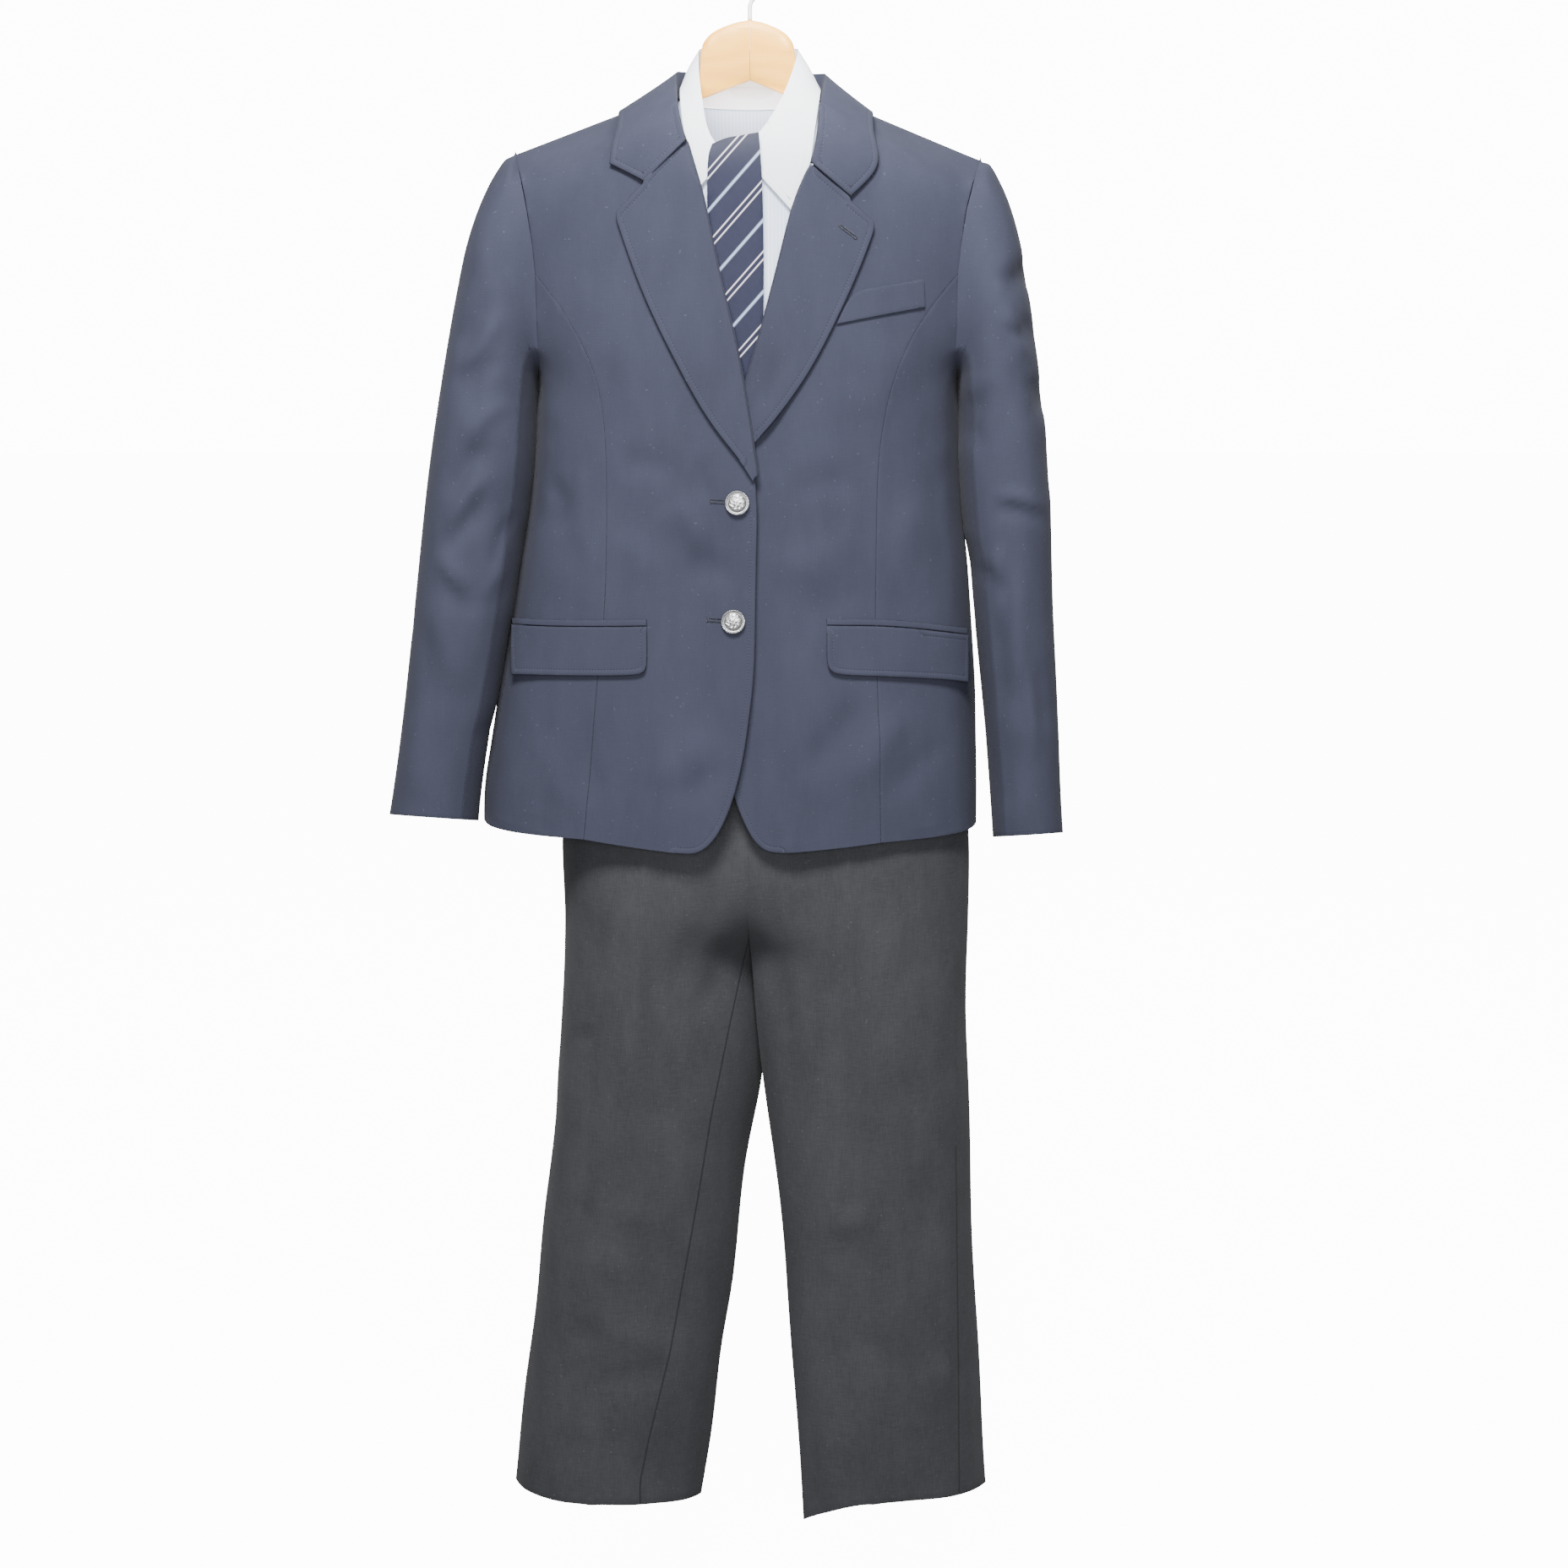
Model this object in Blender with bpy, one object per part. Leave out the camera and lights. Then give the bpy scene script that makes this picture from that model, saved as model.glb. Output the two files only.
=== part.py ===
"""School uniform on a wooden hanger: blazer, shirt, tie and trousers, with the steel parts that carry them.

Sizes in the tables are millimetres. The origin is the inner top of the hanger's hook, with +Z up.
The front is at -Y, and left and right are the viewer's.
"""
import math

import bmesh
import bpy
from mathutils import Vector
from mathutils.bvhtree import BVHTree

for old in list(bpy.data.objects):
    bpy.data.objects.remove(old, do_unlink=True)

# Driving dimensions
MM = 0.001
SEAM_GAP = 0.3
SUIT_WALL = 2.0
SHIRT_WALL = 1.2
TIE_WALL = 2.4
TROUSER_WALL = 1.6
LAYER_GAP = 0.4
ROLL_SETBACK = 2.2
BODY_EXPONENT = 2.4
UNDERLAP_DEPTH = 7.4
SHOULDER_ROUND = 62.0
SHOULDER_Z_AT_CENTRE = -92.0
SHOULDER_SLOPE_LEFT = 0.363
SHOULDER_SLOPE_RIGHT = 0.395
SHIRT_INSET = 6.5
BUTTON_RADIUS = 10.0
HOOK_INNER_RADIUS = 18.0
HOOK_WIRE_RADIUS = 2.0
WOOD_HALF_THICK = 7.0

# Blazer body by height: z, centre x, half width, front depth, back depth
BODY = [
    (-740, -18.9, 209.5, 76, 72),
    (-702, -18.7, 209.3, 76, 72),
    (-677, -18.2, 208.7, 76, 71),
    (-629, -14.5, 203.5, 76, 68),
    (-585, -11.5, 199.5, 76, 65),
    (-550, -9.5, 194.0, 76, 62),
    (-514, -7.0, 189.0, 76, 59),
    (-479, -6.0, 185.0, 77, 57),
    (-438, -4.0, 177.5, 78, 56),
    (-383, -3.0, 174.0, 80, 59),
    (-334, -2.2, 172.0, 80, 62),
    (-318, -2.2, 184.0, 80, 63),
    (-295, -2.2, 194.0, 79, 63),
    (-255, -2.0, 201.0, 78, 64),
    (-205, -1.6, 206.0, 75, 62),
    (-160, -1.4, 209.0, 72, 58),
    (-110, -1.2, 210.0, 66, 54),
]

# Shirt front's distance behind the blazer's front by height: z, distance
SHIRT_FRONT = [(-740, 21.0), (-345, 20.0), (-290, 14.0), (-230, 13.0), (-100, 13.0)]

# Viewer's left front by row: seam x, seam z, front edge x, front edge z
# The seam is the princess seam up to the armhole and the armhole from there on
FRONT_LEFT = [
    (-137.8, -713.0, -50.8, -724.0),
    (-137.2, -707.0, -40.5, -722.0),
    (-136.0, -698.0, -30.5, -713.0),
    (-135.0, -686.0, -23.0, -700.7),
    (-133.0, -668.0, -14.0, -679.0),
    (-130.5, -640.0, -5.6, -645.0),
    (-127.5, -610.0, -0.7, -610.0),
    (-123.8, -575.0, 3.5, -575.0),
    (-118.0, -534.0, 4.2, -534.0),
    (-115.5, -478.0, 5.2, -478.0),
    (-115.0, -440.0, 6.5, -440.0),
    (-114.6, -400.0, 4.0, -414.0),
    (-117.2, -354.0, -4.7, -351.0),
    (-129.0, -318.0, -13.0, -309.0),
    (-150.0, -284.0, -21.0, -276.5),
    (-170.6, -258.0, -29.0, -242.0),
    (-172.6, -235.0, -35.1, -206.0),
    (-176.2, -209.0, -46.5, -172.0),
    (-181.5, -184.0, -57.6, -144.0),
    (-191.0, -161.3, -66.0, -115.9),
]

# Viewer's right front by row, its cutaway passing behind the left front
FRONT_RIGHT = [
    (107.2, -716.0, 19.7, -723.8),
    (107.0, -709.0, 11.4, -722.6),
    (106.8, -700.0, 3.0, -715.6),
    (106.6, -688.0, -4.4, -702.0),
    (106.1, -668.0, -13.5, -680.0),
    (105.3, -640.0, -21.0, -645.0),
    (104.4, -610.0, -26.0, -610.0),
    (103.0, -575.0, -28.5, -575.0),
    (101.0, -534.0, -30.0, -534.0),
    (101.3, -478.0, -29.5, -478.0),
    (101.6, -440.0, -28.5, -440.0),
    (102.4, -400.0, -22.0, -400.0),
    (109.6, -354.0, -3.7, -351.0),
    (122.0, -318.0, 9.4, -309.0),
    (143.0, -284.0, 18.0, -276.5),
    (165.6, -258.0, 26.0, -245.0),
    (168.0, -235.0, 35.8, -206.0),
    (171.5, -209.0, 50.5, -172.0),
    (177.5, -187.0, 57.0, -144.0),
    (187.2, -166.0, 65.5, -117.9),
]
PRINCESS_ROWS = 16
ARMPIT_Z = -334.0

# Back rows by the same stations: back princess seam x left, back princess seam x right, centre back z
BACK_ROWS = [
    (-128.0, 96.0, -722.0),
    (-127.6, 95.8, -717.0),
    (-127.0, 95.6, -708.0),
    (-126.0, 95.4, -696.0),
    (-124.5, 95.2, -675.0),
    (-122.0, 95.0, -643.0),
    (-118.5, 94.5, -610.0),
    (-114.0, 93.5, -575.0),
    (-108.0, 92.0, -534.0),
    (-103.0, 91.5, -478.0),
    (-101.5, 92.0, -440.0),
    (-103.0, 95.0, -400.0),
    (-112.0, 104.0, -354.0),
    (-128.0, 120.0, -318.0),
    (-149.0, 142.0, -284.0),
    (-170.6, 165.6, -255.0),
    (-172.6, 168.0, -225.0),
    (-176.2, 171.5, -194.0),
    (-181.5, 177.5, -162.0),
    (-191.0, 187.2, -131.0),
]


def mix(a, b, t):
    return a + (b - a) * t


def smooth(t):
    t = min(1.0, max(0.0, t))
    return t * t * (3.0 - 2.0 * t)


def look_up(rows, key, column):
    """Value of a column at a key, from rows sorted by their first column."""
    if key <= rows[0][0]:
        return rows[0][column]
    for low, high in zip(rows, rows[1:]):
        if key <= high[0]:
            return mix(low[column], high[column], (key - low[0]) / (high[0] - low[0]))
    return rows[-1][column]


def shoulder_slope(x):
    return SHOULDER_SLOPE_LEFT if x < 0.0 else SHOULDER_SLOPE_RIGHT


def shoulder_z(x):
    """Height of the shoulder ridge above x."""
    return SHOULDER_Z_AT_CENTRE - shoulder_slope(x) * math.hypot(x, 6.0)


def body_point(angle, z, inset=0.0):
    """Point of the body surface: angle 0 at the viewer's left side, 90 at the front, 180 right, 270 back."""
    angle = math.radians(angle)
    front = math.sin(angle) > 0.0
    push = inset
    if inset and front:
        push = mix(inset, look_up(SHIRT_FRONT, z, 1), abs(math.sin(angle)) ** 3)
    centre = look_up(BODY, z, 1)
    half = look_up(BODY, z, 2) - inset
    depth = look_up(BODY, z, 3 if front else 4) - push
    power = 2.0 / BODY_EXPONENT
    x = centre - math.copysign(half * abs(math.cos(angle)) ** power, math.cos(angle))
    drop = (shoulder_z(x) - inset - z) / SHOULDER_ROUND
    ridge = math.sqrt(max(0.0, 1.0 - (1.0 - min(1.0, max(0.0, drop))) ** 2))
    y = depth * abs(math.sin(angle)) ** power * ridge
    return Vector((x, -y if front else y, z))


def body_angle(x, z, back=False, inset=0.0):
    """Angle on the body surface whose point has this x at this height."""
    across = (x - look_up(BODY, z, 1)) / (look_up(BODY, z, 2) - inset)
    across = max(-1.0, min(1.0, across))
    cosine = math.copysign(abs(across) ** (BODY_EXPONENT / 2.0), -across)
    angle = math.degrees(math.acos(cosine))
    return 360.0 - angle if back else angle


def body_normal(angle, z, inset=0.0):
    """Outward direction of the body surface, from short steps along it."""
    here = body_point(angle, z, inset)
    if shoulder_z(here.x) - inset - z < 0.4:
        return Vector((math.copysign(shoulder_slope(here.x), here.x), 0.0, 1.0)).normalized()
    side = body_point(angle + 0.6, z, inset) - body_point(angle - 0.6, z, inset)
    up = body_point(angle, min(z + 1.5, shoulder_z(here.x) - inset - 0.05), inset)
    up -= body_point(angle, z - 1.5, inset)
    normal = side.cross(up)
    if normal.length < 1e-9:
        return Vector((0.0, 0.0, 1.0))
    normal.normalize()
    return normal


# Materials and mesh makers
def material(name, colour, roughness, metallic=0.0):
    made = bpy.data.materials.new(name)
    made.use_nodes = True
    shader = made.node_tree.nodes["Principled BSDF"]
    shader.inputs["Base Color"].default_value = (*colour, 1.0)
    shader.inputs["Roughness"].default_value = roughness
    shader.inputs["Metallic"].default_value = metallic
    made.diffuse_color = (*colour, 1.0)
    return made


NAVY = (0.030, 0.034, 0.056)
CHARCOAL = (0.020, 0.023, 0.027)
PIECES = {}


def add_piece(name, points, faces, colour, roughness=0.9, metallic=0.0, shade=True):
    """One closed piece from points in millimetres, turned to face out."""
    mesh = bpy.data.meshes.new(name)
    mesh.from_pydata([tuple(p * MM for p in point) for point in points], [], faces)
    build = bmesh.new()
    build.from_mesh(mesh)
    bmesh.ops.remove_doubles(build, verts=build.verts, dist=1e-6)
    bmesh.ops.dissolve_degenerate(build, edges=build.edges, dist=1e-6)
    bmesh.ops.triangulate(build, faces=build.faces, quad_method="SHORT_EDGE")
    bmesh.ops.recalc_face_normals(build, faces=build.faces)
    if build.calc_volume(signed=True) < 0.0:
        bmesh.ops.reverse_faces(build, faces=build.faces)
    build.to_mesh(mesh)
    build.free()
    for polygon in mesh.polygons:
        polygon.use_smooth = shade
    piece = bpy.data.objects.new(name, mesh)
    bpy.context.scene.collection.objects.link(piece)
    mesh.materials.append(material(name + "_finish", colour, roughness, metallic))
    PIECES[name] = piece
    return piece


def sheet(name, outer, inner, colour, roughness=0.9, metallic=0.0):
    """A cloth wall between two grids of rows, closed round its four edges."""
    rows = len(outer)
    columns = len(outer[0])
    points = [point for row in outer for point in row]
    points += [point for row in inner for point in row]
    half = rows * columns
    faces = []
    for i in range(rows - 1):
        for j in range(columns - 1):
            a = i * columns + j
            b = a + columns
            faces.append((a, a + 1, b + 1, b))
            faces.append((half + a, half + b, half + b + 1, half + a + 1))
    rim = [(0, j) for j in range(columns)]
    rim += [(i, columns - 1) for i in range(1, rows)]
    rim += [(rows - 1, j) for j in range(columns - 2, -1, -1)]
    rim += [(i, 0) for i in range(rows - 2, 0, -1)]
    loop = [i * columns + j for i, j in rim]
    for a, b in zip(loop, loop[1:] + loop[:1]):
        faces.append((a, half + a, half + b, b))
    return add_piece(name, points, faces, colour, roughness, metallic)


def grid_normals(grid):
    """Direction across a grid at each of its points."""
    rows = len(grid)
    columns = len(grid[0])
    normals = []
    for i in range(rows):
        line = []
        for j in range(columns):
            along = grid[i][min(j + 1, columns - 1)] - grid[i][max(j - 1, 0)]
            down = grid[min(i + 1, rows - 1)][j] - grid[max(i - 1, 0)][j]
            line.append(along.cross(down).normalized())
        normals.append(line)
    return normals


def draw_in(grid, edges, gap=SEAM_GAP / 2.0):
    """Moves the named edges of a grid inward by the gap, so that a seam stays open."""
    rows = len(grid)
    columns = len(grid[0])
    moved = [[point.copy() for point in row] for row in grid]
    steps = []
    if "first_column" in edges:
        steps += [((i, 0), (i, 1)) for i in range(rows)]
    if "last_column" in edges:
        steps += [((i, columns - 1), (i, columns - 2)) for i in range(rows)]
    if "first_row" in edges:
        steps += [((0, j), (1, j)) for j in range(columns)]
    if "last_row" in edges:
        steps += [((rows - 1, j), (rows - 2, j)) for j in range(columns)]
    for (i, j), (k, m) in steps:
        way = grid[k][m] - grid[i][j]
        if way.length > 1e-6:
            moved[i][j] += way.normalized() * gap
    return moved


def fill_patch(first_row, last_row, first_column, last_column):
    """Points inside four border lines of (angle, z) pairs, blended from the borders."""
    rows = len(first_column)
    columns = len(first_row)
    filled = []
    for i in range(rows):
        v = i / (rows - 1)
        line = []
        for j in range(columns):
            u = j / (columns - 1)
            pair = []
            for k in range(2):
                sides = mix(first_column[i][k], last_column[i][k], u)
                ends = mix(first_row[j][k], last_row[j][k], v)
                low = mix(first_row[0][k], first_row[-1][k], u)
                high = mix(last_row[0][k], last_row[-1][k], u)
                pair.append(sides + ends - mix(low, high, v))
            line.append(tuple(pair))
        filled.append(line)
    return filled


# Blazer body panels
def border(pairs, count):
    """Resamples a line of pairs to a count of even steps along its index."""
    line = []
    for k in range(count):
        place = k / (count - 1) * (len(pairs) - 1)
        low = min(int(place), len(pairs) - 2)
        t = place - low
        line.append(tuple(mix(pairs[low][n], pairs[low + 1][n], t) for n in range(2)))
    return line


def seam_pairs(rows, back=False, back_column=0):
    """Princess seam and armhole of a side as (angle, z) pairs, hem first."""
    pairs = []
    for k, row in enumerate(rows):
        x, z = row[0], row[1]
        if back and k < PRINCESS_ROWS - 1:
            x = BACK_ROWS[k][back_column]
        pairs.append((body_angle(x, z, back), z))
    return pairs


def edge_pairs(rows):
    """Front edge of a side as (angle, z) pairs, hem first, set back where the lapel rolls over it."""
    way = 1.0 if rows[0][0] > 0.0 else -1.0
    pairs = []
    for row in rows:
        x = row[2] + way * ROLL_SETBACK * smooth((row[3] + 420.0) / 20.0)
        pairs.append((body_angle(x, row[3]), row[3]))
    return pairs


def underlap(point, amount):
    """Sets the right front behind the left front where they overlap."""
    deep = smooth((34.0 - point.x) / 24.0) * smooth((-322.0 - point.z) / 24.0)
    return Vector((point.x, point.y + amount * deep, point.z))


def body_sheet(name, pairs, edges, colour=NAVY, wall=SUIT_WALL, inset=0.0, behind=0.0):
    """A panel of the body surface from its grid of (angle, z) pairs."""
    outer = [[body_point(a, z, inset) for a, z in row] for row in pairs]
    lean = [[body_normal(a, z, inset) for a, z in row] for row in pairs]
    outer = draw_in(outer, edges)
    inner = [[p - n * wall for p, n in zip(row, ways)] for row, ways in zip(outer, lean)]
    if behind:
        outer = [[underlap(p, behind) for p in row] for row in outer]
        inner = [[underlap(p, behind) for p in row] for row in inner]
    sheet(name, outer, inner, colour)
    return outer


def front_patch(rows, columns, flip):
    seam = seam_pairs(rows)
    edge = edge_pairs(rows)
    hem = border([seam[0], edge[0]], columns)
    top = []
    for k in range(columns):
        x = mix(rows[-1][0], rows[-1][2], k / (columns - 1))
        z = shoulder_z(x)
        top.append((body_angle(x, z), z))
    patch = fill_patch(hem, top, seam, edge)
    return [row[::-1] for row in patch] if flip else patch


def shape_sides(rows, side_angle, column, flip):
    """Side front and side back grids that meet at the side seam, below the armhole."""
    made = []
    for back in (False, True):
        seam = seam_pairs(rows[:PRINCESS_ROWS], back, column)
        if not flip and back:
            seam = [(a - 360.0, z) for a, z in seam]
        start = side_angle
        low_z = rows[0][1]
        side = []
        for row in rows[:PRINCESS_ROWS]:
            share = (row[1] - low_z) / (rows[PRINCESS_ROWS - 1][1] - low_z)
            side.append((start, mix(low_z + 4.0, ARMPIT_Z, share)))
        top_x, top_z = rows[PRINCESS_ROWS - 1][0], rows[PRINCESS_ROWS - 1][1]
        top = []
        for z_share in (0.0, 0.06, 0.22, 0.52, 1.0):
            z = mix(ARMPIT_Z, top_z, z_share)
            angle = body_angle(top_x, z, back)
            if not flip and back:
                angle -= 360.0
            if z_share == 0.0:
                angle = start
            top.append((angle, z))
        hem = border([side[0], seam[0]], 5)
        patch = fill_patch(hem, top, side, seam)
        if back != flip:
            patch = [row[::-1] for row in patch]
        made.append(patch)
    return made


fronts = {
    "left": front_patch(FRONT_LEFT, 9, False),
    "right": front_patch(FRONT_RIGHT, 9, True),
}
body_sheet("blazer_front_left", fronts["left"], ("first_column", "last_row"))
body_sheet("blazer_front_right", fronts["right"], ("last_column", "last_row"), behind=UNDERLAP_DEPTH)
side_left = shape_sides(FRONT_LEFT, 0.0, 0, False)
side_right = shape_sides(FRONT_RIGHT, 180.0, 1, True)
body_sheet("blazer_side_front_left", side_left[0], ("first_column", "last_column"))
body_sheet("blazer_side_back_left", side_left[1], ("first_column", "last_column"))
body_sheet("blazer_side_front_right", side_right[0], ("first_column", "last_column"))
body_sheet("blazer_side_back_right", side_right[1], ("first_column", "last_column"))


def back_patch(rows, column, flip):
    seam = seam_pairs(rows, True, column)
    middle = []
    for row, back in zip(rows, BACK_ROWS):
        middle.append((270.0, back[2]))
    hem = border([seam[0], middle[0]], 8)
    top = []
    for k in range(5):
        x = mix(rows[-1][0], rows[-1][2], k / 4.0)
        z = shoulder_z(x)
        top.append((body_angle(x, z, True), z))
    for share in (0.34, 0.67, 1.0):
        x = mix(rows[-1][2], look_up(BODY, -131.0, 1), share)
        z = mix(rows[-1][3], BACK_ROWS[-1][2], math.sin(share * math.pi / 2.0))
        top.append((body_angle(x, z, True), z))
    patch = fill_patch(hem, top, seam, middle)
    return patch if flip else [row[::-1] for row in patch]


BACK_EDGES = ("first_column", "last_column", "last_row")
body_sheet("blazer_back_left", back_patch(FRONT_LEFT, 0, False), BACK_EDGES)
body_sheet("blazer_back_right", back_patch(FRONT_RIGHT, 1, True), BACK_EDGES)


# Sleeves: rings from the armhole to the cuff, each in a plane that turns about the armpit
# Ring columns: inner x, inner z, outer x, outer z, centre y, front depth, back depth
SLEEVE_LEFT = [
    (-175.6, -337.0, -199.5, -159.6, 0, 57, 52),
    (-175.8, -340.0, -207.0, -166.5, 0, 60, 55),
    (-176.0, -344.0, -216.5, -187.0, 0, 62, 57),
    (-176.2, -349.0, -227.0, -219.0, -1, 63, 58),
    (-176.8, -357.0, -237.0, -261.0, -2, 62, 58),
    (-178.2, -372.0, -245.0, -299.0, -3, 61, 57),
    (-180.5, -398.0, -253.0, -341.0, -5, 59, 56),
    (-183.5, -436.0, -263.5, -401.0, -8, 56, 54),
    (-191.5, -472.0, -270.0, -449.0, -10, 54, 52),
    (-198.5, -515.0, -278.0, -514.0, -12, 51, 49),
    (-209.5, -564.0, -284.5, -566.0, -14, 48, 46),
    (-219.5, -625.0, -292.0, -622.0, -15, 45, 44),
    (-228.5, -675.0, -299.5, -670.0, -16, 43, 42),
    (-232.0, -707.0, -305.4, -701.5, -16, 42, 41),
]
SLEEVE_RIGHT = [
    (171.2, -337.0, 196.5, -165.4, 0, 57, 52),
    (171.4, -340.0, 203.0, -172.5, 0, 60, 55),
    (171.6, -344.0, 211.0, -193.0, 0, 62, 57),
    (171.9, -349.0, 218.5, -225.0, -1, 63, 58),
    (172.3, -357.0, 226.0, -267.0, -2, 62, 58),
    (172.9, -372.0, 231.5, -303.0, -3, 61, 57),
    (173.8, -398.0, 237.7, -346.0, -5, 59, 56),
    (176.0, -436.0, 245.5, -405.0, -8, 56, 54),
    (181.0, -472.0, 247.8, -453.0, -10, 54, 52),
    (184.8, -515.0, 249.9, -518.0, -12, 51, 49),
    (189.5, -564.0, 253.5, -569.0, -14, 48, 46),
    (196.5, -622.0, 257.0, -622.0, -15, 45, 44),
    (201.5, -678.0, 259.8, -681.0, -16, 43, 42),
    (204.9, -721.0, 262.9, -717.0, -16, 42, 41),
]
CUFF_DROP = 0.2
HEAD_EASE = (0.35, 0.7, 0.9)
RING_POINTS = 16
FRONT_SEAM_POINT = 2
HIND_SEAM_POINT = 11


def armhole_ring(rows, side_angle, out):
    """Loop of points along the armhole, from the armpit round the front, moved outward by a distance."""
    low_x, low_z = rows[PRINCESS_ROWS - 1][0], rows[PRINCESS_ROWS - 1][1]
    sides = []
    for back in (False, True):
        line = []
        for share in (0.06, 0.22, 0.52, 1.0):
            z = mix(ARMPIT_Z, low_z, share)
            line.append((low_x, z))
        line += [(row[0], row[1]) for row in rows[PRINCESS_ROWS:]]
        sides.append([body_point(body_angle(x, z, back), z) for x, z in line])
    start = body_point(side_angle, ARMPIT_Z)
    loop = [start] + sides[0] + sides[1][-2::-1]
    way = 1.0 if low_x > 0.0 else -1.0
    return [p + Vector((way * out, 0.0, 0.0)) for p in loop]


def sleeve_rings(rows, first):
    rings = [first]
    for k, (inner_x, inner_z, outer_x, outer_z, centre_y, front, back) in enumerate(rows):
        hang = smooth((k - len(rows) + 4) / 3.0)
        ease = HEAD_EASE[k] if k < len(HEAD_EASE) else 1.0
        ring = []
        for j in range(RING_POINTS):
            turn = 2.0 * math.pi * j / RING_POINTS
            across = math.copysign(abs(math.cos(turn)) ** 0.9, math.cos(turn))
            deep = math.copysign(abs(math.sin(turn)) ** 0.9, math.sin(turn))
            share = 0.5 - 0.5 * across
            y = centre_y - deep * (front if deep > 0.0 else back)
            z = mix(inner_z, outer_z, share) - CUFF_DROP * hang * (y - centre_y)
            ring.append(first[j].lerp(Vector((mix(inner_x, outer_x, share), y, z)), ease))
        rings.append(ring)
    return rings


def tube_part(name, rings, start, end, colour, wall, mirrored, seams=True):
    """The part of a ringed tube from one ring point to another, as a cloth wall."""
    count = len(rings[0])
    whole = [[ring[j % count] for j in range(start - 1, end + 2)] for ring in rings]
    lean = grid_normals(whole)
    middle = [sum((p for p in ring), Vector()) / count for ring in rings]
    outer = [row[1:-1] for row in whole]
    lean = [row[1:-1] for row in lean]
    sign = 1.0 if lean[-2][1].dot(outer[-2][1] - middle[-2]) > 0.0 else -1.0
    outer = draw_in(outer, ("first_column", "last_column") if seams else ())
    inner = [[p - n * (wall * sign) for p, n in zip(row, ways)] for row, ways in zip(outer, lean)]
    if mirrored:
        outer = [row[::-1] for row in outer]
        inner = [row[::-1] for row in inner]
    sheet(name, outer, inner, colour)


sleeves = {
    "left": sleeve_rings(SLEEVE_LEFT, armhole_ring(FRONT_LEFT, 0.0, 0.5)),
    "right": sleeve_rings(SLEEVE_RIGHT, armhole_ring(FRONT_RIGHT, 180.0, 0.5)),
}
for side, rings in sleeves.items():
    turned = side == "right"
    first, last = FRONT_SEAM_POINT, HIND_SEAM_POINT
    tube_part("blazer_top_sleeve_" + side, rings, first, last, NAVY, SUIT_WALL, turned)
    again = first + RING_POINTS
    tube_part("blazer_under_sleeve_" + side, rings, last, again, NAVY, SUIT_WALL, turned)


# Pieces laid on the blazer
def tree_of(names):
    """Search tree of the named pieces, in millimetres."""
    points = []
    faces = []
    for name in names:
        mesh = PIECES[name].data
        start = len(points)
        points += [vertex.co / MM for vertex in mesh.vertices]
        faces += [tuple(start + k for k in polygon.vertices) for polygon in mesh.polygons]
    return BVHTree.FromPolygons(points, faces)


BODY_CLOTH = [name for name in PIECES if "sleeve" not in name]
cloth = tree_of(BODY_CLOTH)


def seat(point, normal, tree, reach=4.0):
    """How far the made cloth stands out along a normal, near a point of the smooth surface."""
    along = normal.cross(Vector((0.0, 0.0, 1.0)))
    along = along.normalized() if along.length > 1e-6 else Vector((1.0, 0.0, 0.0))
    over = normal.cross(along)
    best = None
    for u, v in ((0, 0), (1, 0), (-1, 0), (0, 1), (0, -1)):
        start = point + normal * 25.0 + along * (u * reach) + over * (v * reach)
        hit = tree.ray_cast(start, -normal, 50.0)[0]
        if hit is not None:
            out = (hit - point).dot(normal)
            best = out if best is None else max(best, out)
    return 0.0 if best is None else best


def laid_point(x, z, out, tree=None, back=False, reach=4.0):
    """Point over the cloth at x and z, standing out from it by a distance."""
    angle = body_angle(x, z, back)
    point = body_point(angle, z)
    normal = body_normal(angle, z)
    return point + normal * (seat(point, normal, tree or cloth, reach) + out)


def laid_sheet(name, rows, wall, lift=0.0, colour=NAVY, gap=LAYER_GAP, reach=4.0):
    """A piece whose rows of (x, z) points lie on the front of the body."""
    def clear(x, z):
        across = abs(x - look_up(BODY, z, 1)) / look_up(BODY, z, 2)
        return gap + lift + 1.4 * smooth((across - 0.8) / 0.14)

    inner = [[laid_point(x, z, clear(x, z), reach=reach) for x, z in row] for row in rows]
    outer = [[laid_point(x, z, clear(x, z) + wall, reach=reach) for x, z in row] for row in rows]
    sheet(name, outer, inner, colour)


# Lapel rows from the lowest: roll x, roll z, edge x, edge z
LAPEL_LEFT = [
    (5.0, -416.0, 2.5, -420.0),
    (2.6, -400.0, -8.0, -402.5),
    (-4.7, -351.0, -32.8, -374.2),
    (-12.5, -309.0, -57.7, -328.4),
    (-21.0, -276.5, -77.2, -289.5),
    (-29.0, -241.0, -90.6, -257.0),
    (-37.5, -198.0, -101.3, -225.5),
    (-42.8, -182.0, -104.2, -217.0),
    (-49.3, -158.4, -104.0, -212.4),
]
LAPEL_RIGHT = [
    (-17.5, -388.0, -9.0, -402.0),
    (-9.5, -370.0, 3.9, -390.7),
    (-4.0, -351.0, 22.0, -370.9),
    (9.4, -309.0, 48.6, -334.9),
    (18.0, -276.5, 71.6, -289.5),
    (26.6, -244.3, 86.5, -257.0),
    (35.8, -206.0, 96.3, -231.0),
    (46.4, -183.0, 98.3, -224.5),
    (48.6, -178.8, 97.8, -219.9),
]
LAPEL_COLUMNS = 7
ROLL_OVER = 1.8


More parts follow.
